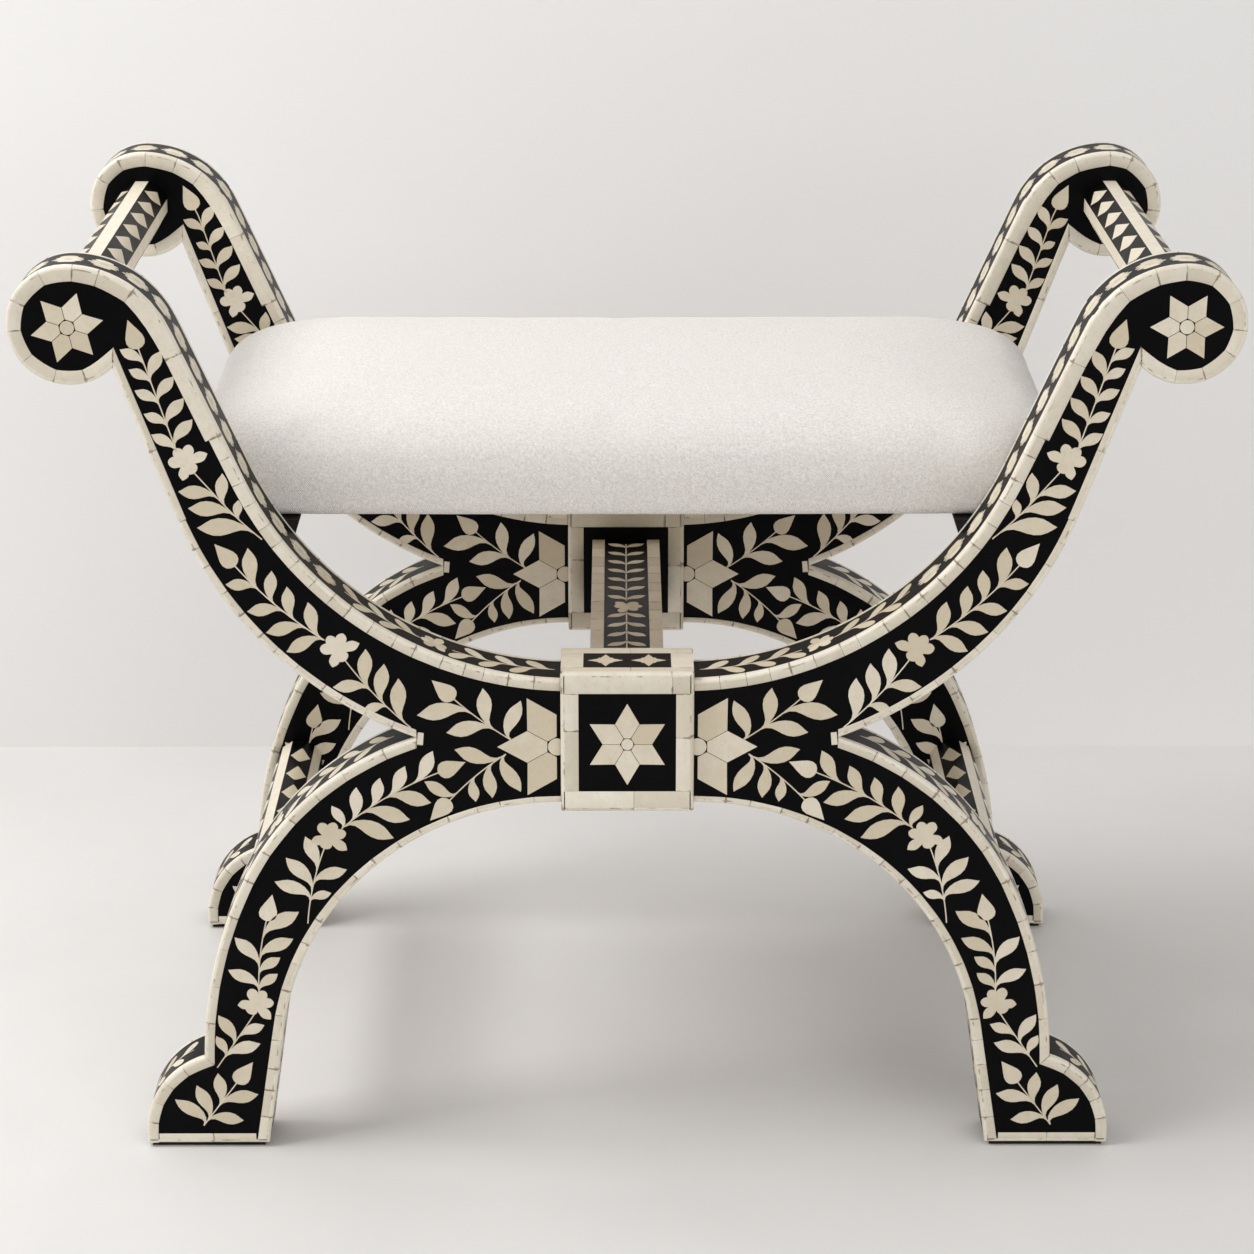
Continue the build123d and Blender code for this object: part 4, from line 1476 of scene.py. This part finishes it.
# %% Timber and rubber
def grain_material(name, light, dark, rough, stretch, relief=0.15):
    """Timber: noise drawn out along the grain mixes two shades. Rubber is the same, but even."""
    material, tree, spot = new_material(name)
    drawn = node(tree, "Mapping", {"Vector": spot, "Scale": stretch})
    grown = {"Vector": drawn, "Scale": 1 / (3 * mm), "Detail": 4.0, "Distortion": 0.6}
    fibre = node(tree, "TexNoise", grown)
    shades = {0: fibre, "A": colour(light), "B": colour(dark)}
    wood = {
        "Base Color": node(tree, "Mix", shades, data_type="RGBA"),
        "Roughness": rough,
        "Normal": node(tree, "Bump", {"Height": fibre, "Strength": relief, "Distance": 0.3 * mm}),
        "Specular IOR Level": 0.3,
    }
    return surfaced(material, node(tree, "BsdfPrincipled", wood))


black_wood = grain_material("black_painted_wood", "#0b0a0a", "#161413", 0.5, (1, 0.06, 1))
plywood = grain_material("birch_plywood", "#d9c29a", "#b8976a", 0.7, (0.1, 0.1, 2.5))
beech = grain_material("beech", "#cfa57c", "#a97a52", 0.65, (0.08, 1, 1))
pad_rubber = grain_material("moulded_rubber", "#121212", "#1c1b1b", 0.85, (1, 1, 1), 0.05)
print("made", black_wood.name, plywood.name, beech.name, pad_rubber.name)

# %% [markdown]
# ## The carried-over nodes
# The black cores of the blocks, the stretcher, the rails, the bearers, the board, the tenons and
# the foot pads keep their CAD shape and get their materials.

# %% Finishes of the carried-over nodes
finishes = {
    "front_block": black_resin,
    "rear_block": black_resin,
    "centre_stretcher": black_resin,
    "seat_board": plywood,
    "loose_tenons": beech,
    "foot_pads": pad_rubber,
}
for side_name in sides:
    finishes[f"{side_name}_seat_bearer"] = black_wood
    for rail in ("hand_rail", "leg_rail"):
        finishes[f"{side_name}_{rail}"] = black_resin
        finishes[f"{side_name}_{rail}_strips"] = bone_inlay
for name, material in finishes.items():
    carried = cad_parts[name]
    carried.data.materials.clear()
    carried.data.materials.append(material)
print("finished", len(finishes), "carried-over nodes")

# %% [markdown]
# ## Floor, wall, lights and camera
# The stool stands on a pale trowelled floor, a short way before a white wall. A window on the left
# gives most of the light, a wide light in front lifts the shadows, and the room itself glows a
# little, as white walls do. Seen from behind, the floor and the wall are clear, so that the stool
# can be looked at from every side.

# %% Room
floor_size = 6.0
wall_y = 0.521


def room_material(name, light, dark, scale):
    """Plaster or cement: noise mixes two pale shades, and the back of the sheet is clear."""
    material, tree, spot = new_material(name)
    cloud = node(tree, "TexNoise", {"Vector": spot, "Scale": scale, "Detail": 6.0})
    shades = {0: cloud, "A": colour(light), "B": colour(dark)}
    tint = node(tree, "Mix", shades, data_type="RGBA")
    shader = node(tree, "BsdfPrincipled", {"Base Color": tint, "Roughness": 0.6})
    behind = node(tree, "NewGeometry", {}).outputs["Backfacing"]
    clear = node(tree, "BsdfTransparent", {})
    return surfaced(material, node(tree, "MixShader", {0: behind, 1: shader, 2: clear}))


def sheet_object(name, corners, material):
    """A flat backdrop of one face. It isn't part of the stool."""
    mesh = bpy.data.meshes.new(name)
    mesh.from_pydata(corners, [], [(0, 1, 2, 3)])
    made = bpy.data.objects.new(name, mesh)
    bpy.context.scene.collection.objects.link(made)
    made.data.materials.append(material)


far = floor_size / 2
sheet_object(
    "floor",
    ((-far, -far, 0), (far, -far, 0), (far, wall_y, 0), (-far, wall_y, 0)),
    room_material("trowelled_floor", "#e8e6e4", "#d5d2d0", 4.0),
)
sheet_object(
    "wall",
    ((-far, wall_y, 0), (far, wall_y, 0), (far, wall_y, far), (-far, wall_y, far)),
    room_material("painted_wall", "#f4f3f2", "#f0eeed", 1.0),
)
print("made the floor and the wall,", floor_size, "m wide")

# %% Lights
def area_light(name, place_at, aim, size, power):
    """A rectangular lamp at one place, turned to shine on another. Power is in watts."""
    lamp = bpy.data.lights.new(name, "AREA")
    lamp.shape = "RECTANGLE"
    lamp.size, lamp.size_y = size
    lamp.energy = power
    made = bpy.data.objects.new(name, lamp)
    made.location = place_at
    direction = Vector(aim) - Vector(place_at)
    made.rotation_euler = direction.to_track_quat("-Z", "Y").to_euler()
    bpy.context.scene.collection.objects.link(made)


lit_place = (0, 0, 0.3)
area_light("window", (-1.75, -0.4, 2.2), lit_place, (1.3, 1.1), 44)
area_light("fill", (1.1, -2.6, 1.6), lit_place, (2.4, 1.8), 19)
world = bpy.data.worlds.new("room_light")
bpy.context.scene.world = world
world.use_nodes = True
background = world.node_tree.nodes["Background"]
background.inputs["Color"].default_value = colour("#f3f3f3")
background.inputs["Strength"].default_value = 0.57
print("made the lights", *(lamp.name for lamp in bpy.data.lights))

# %% [markdown]
# The camera was fitted to the photograph: where it stands, how far it looks down, and a focal
# length of about 2.75 times the width of the picture.

# %% Camera
look_down = 18.739
look_aside = -0.157
focal_share = 2.7498
camera_data = bpy.data.cameras.new("camera")
camera_data.sensor_width = 36
camera_data.lens = focal_share * camera_data.sensor_width
camera = bpy.data.objects.new("camera", camera_data)
camera.location = (-5.5 * mm, -2136 * mm, 1005.2 * mm)
camera.rotation_euler = (math.radians(90 - look_down), 0, math.radians(look_aside))
bpy.context.scene.collection.objects.link(camera)
bpy.context.scene.camera = camera
bpy.context.scene.view_settings.view_transform = "Standard"
print("camera lens", round(camera_data.lens, 1), "mm")
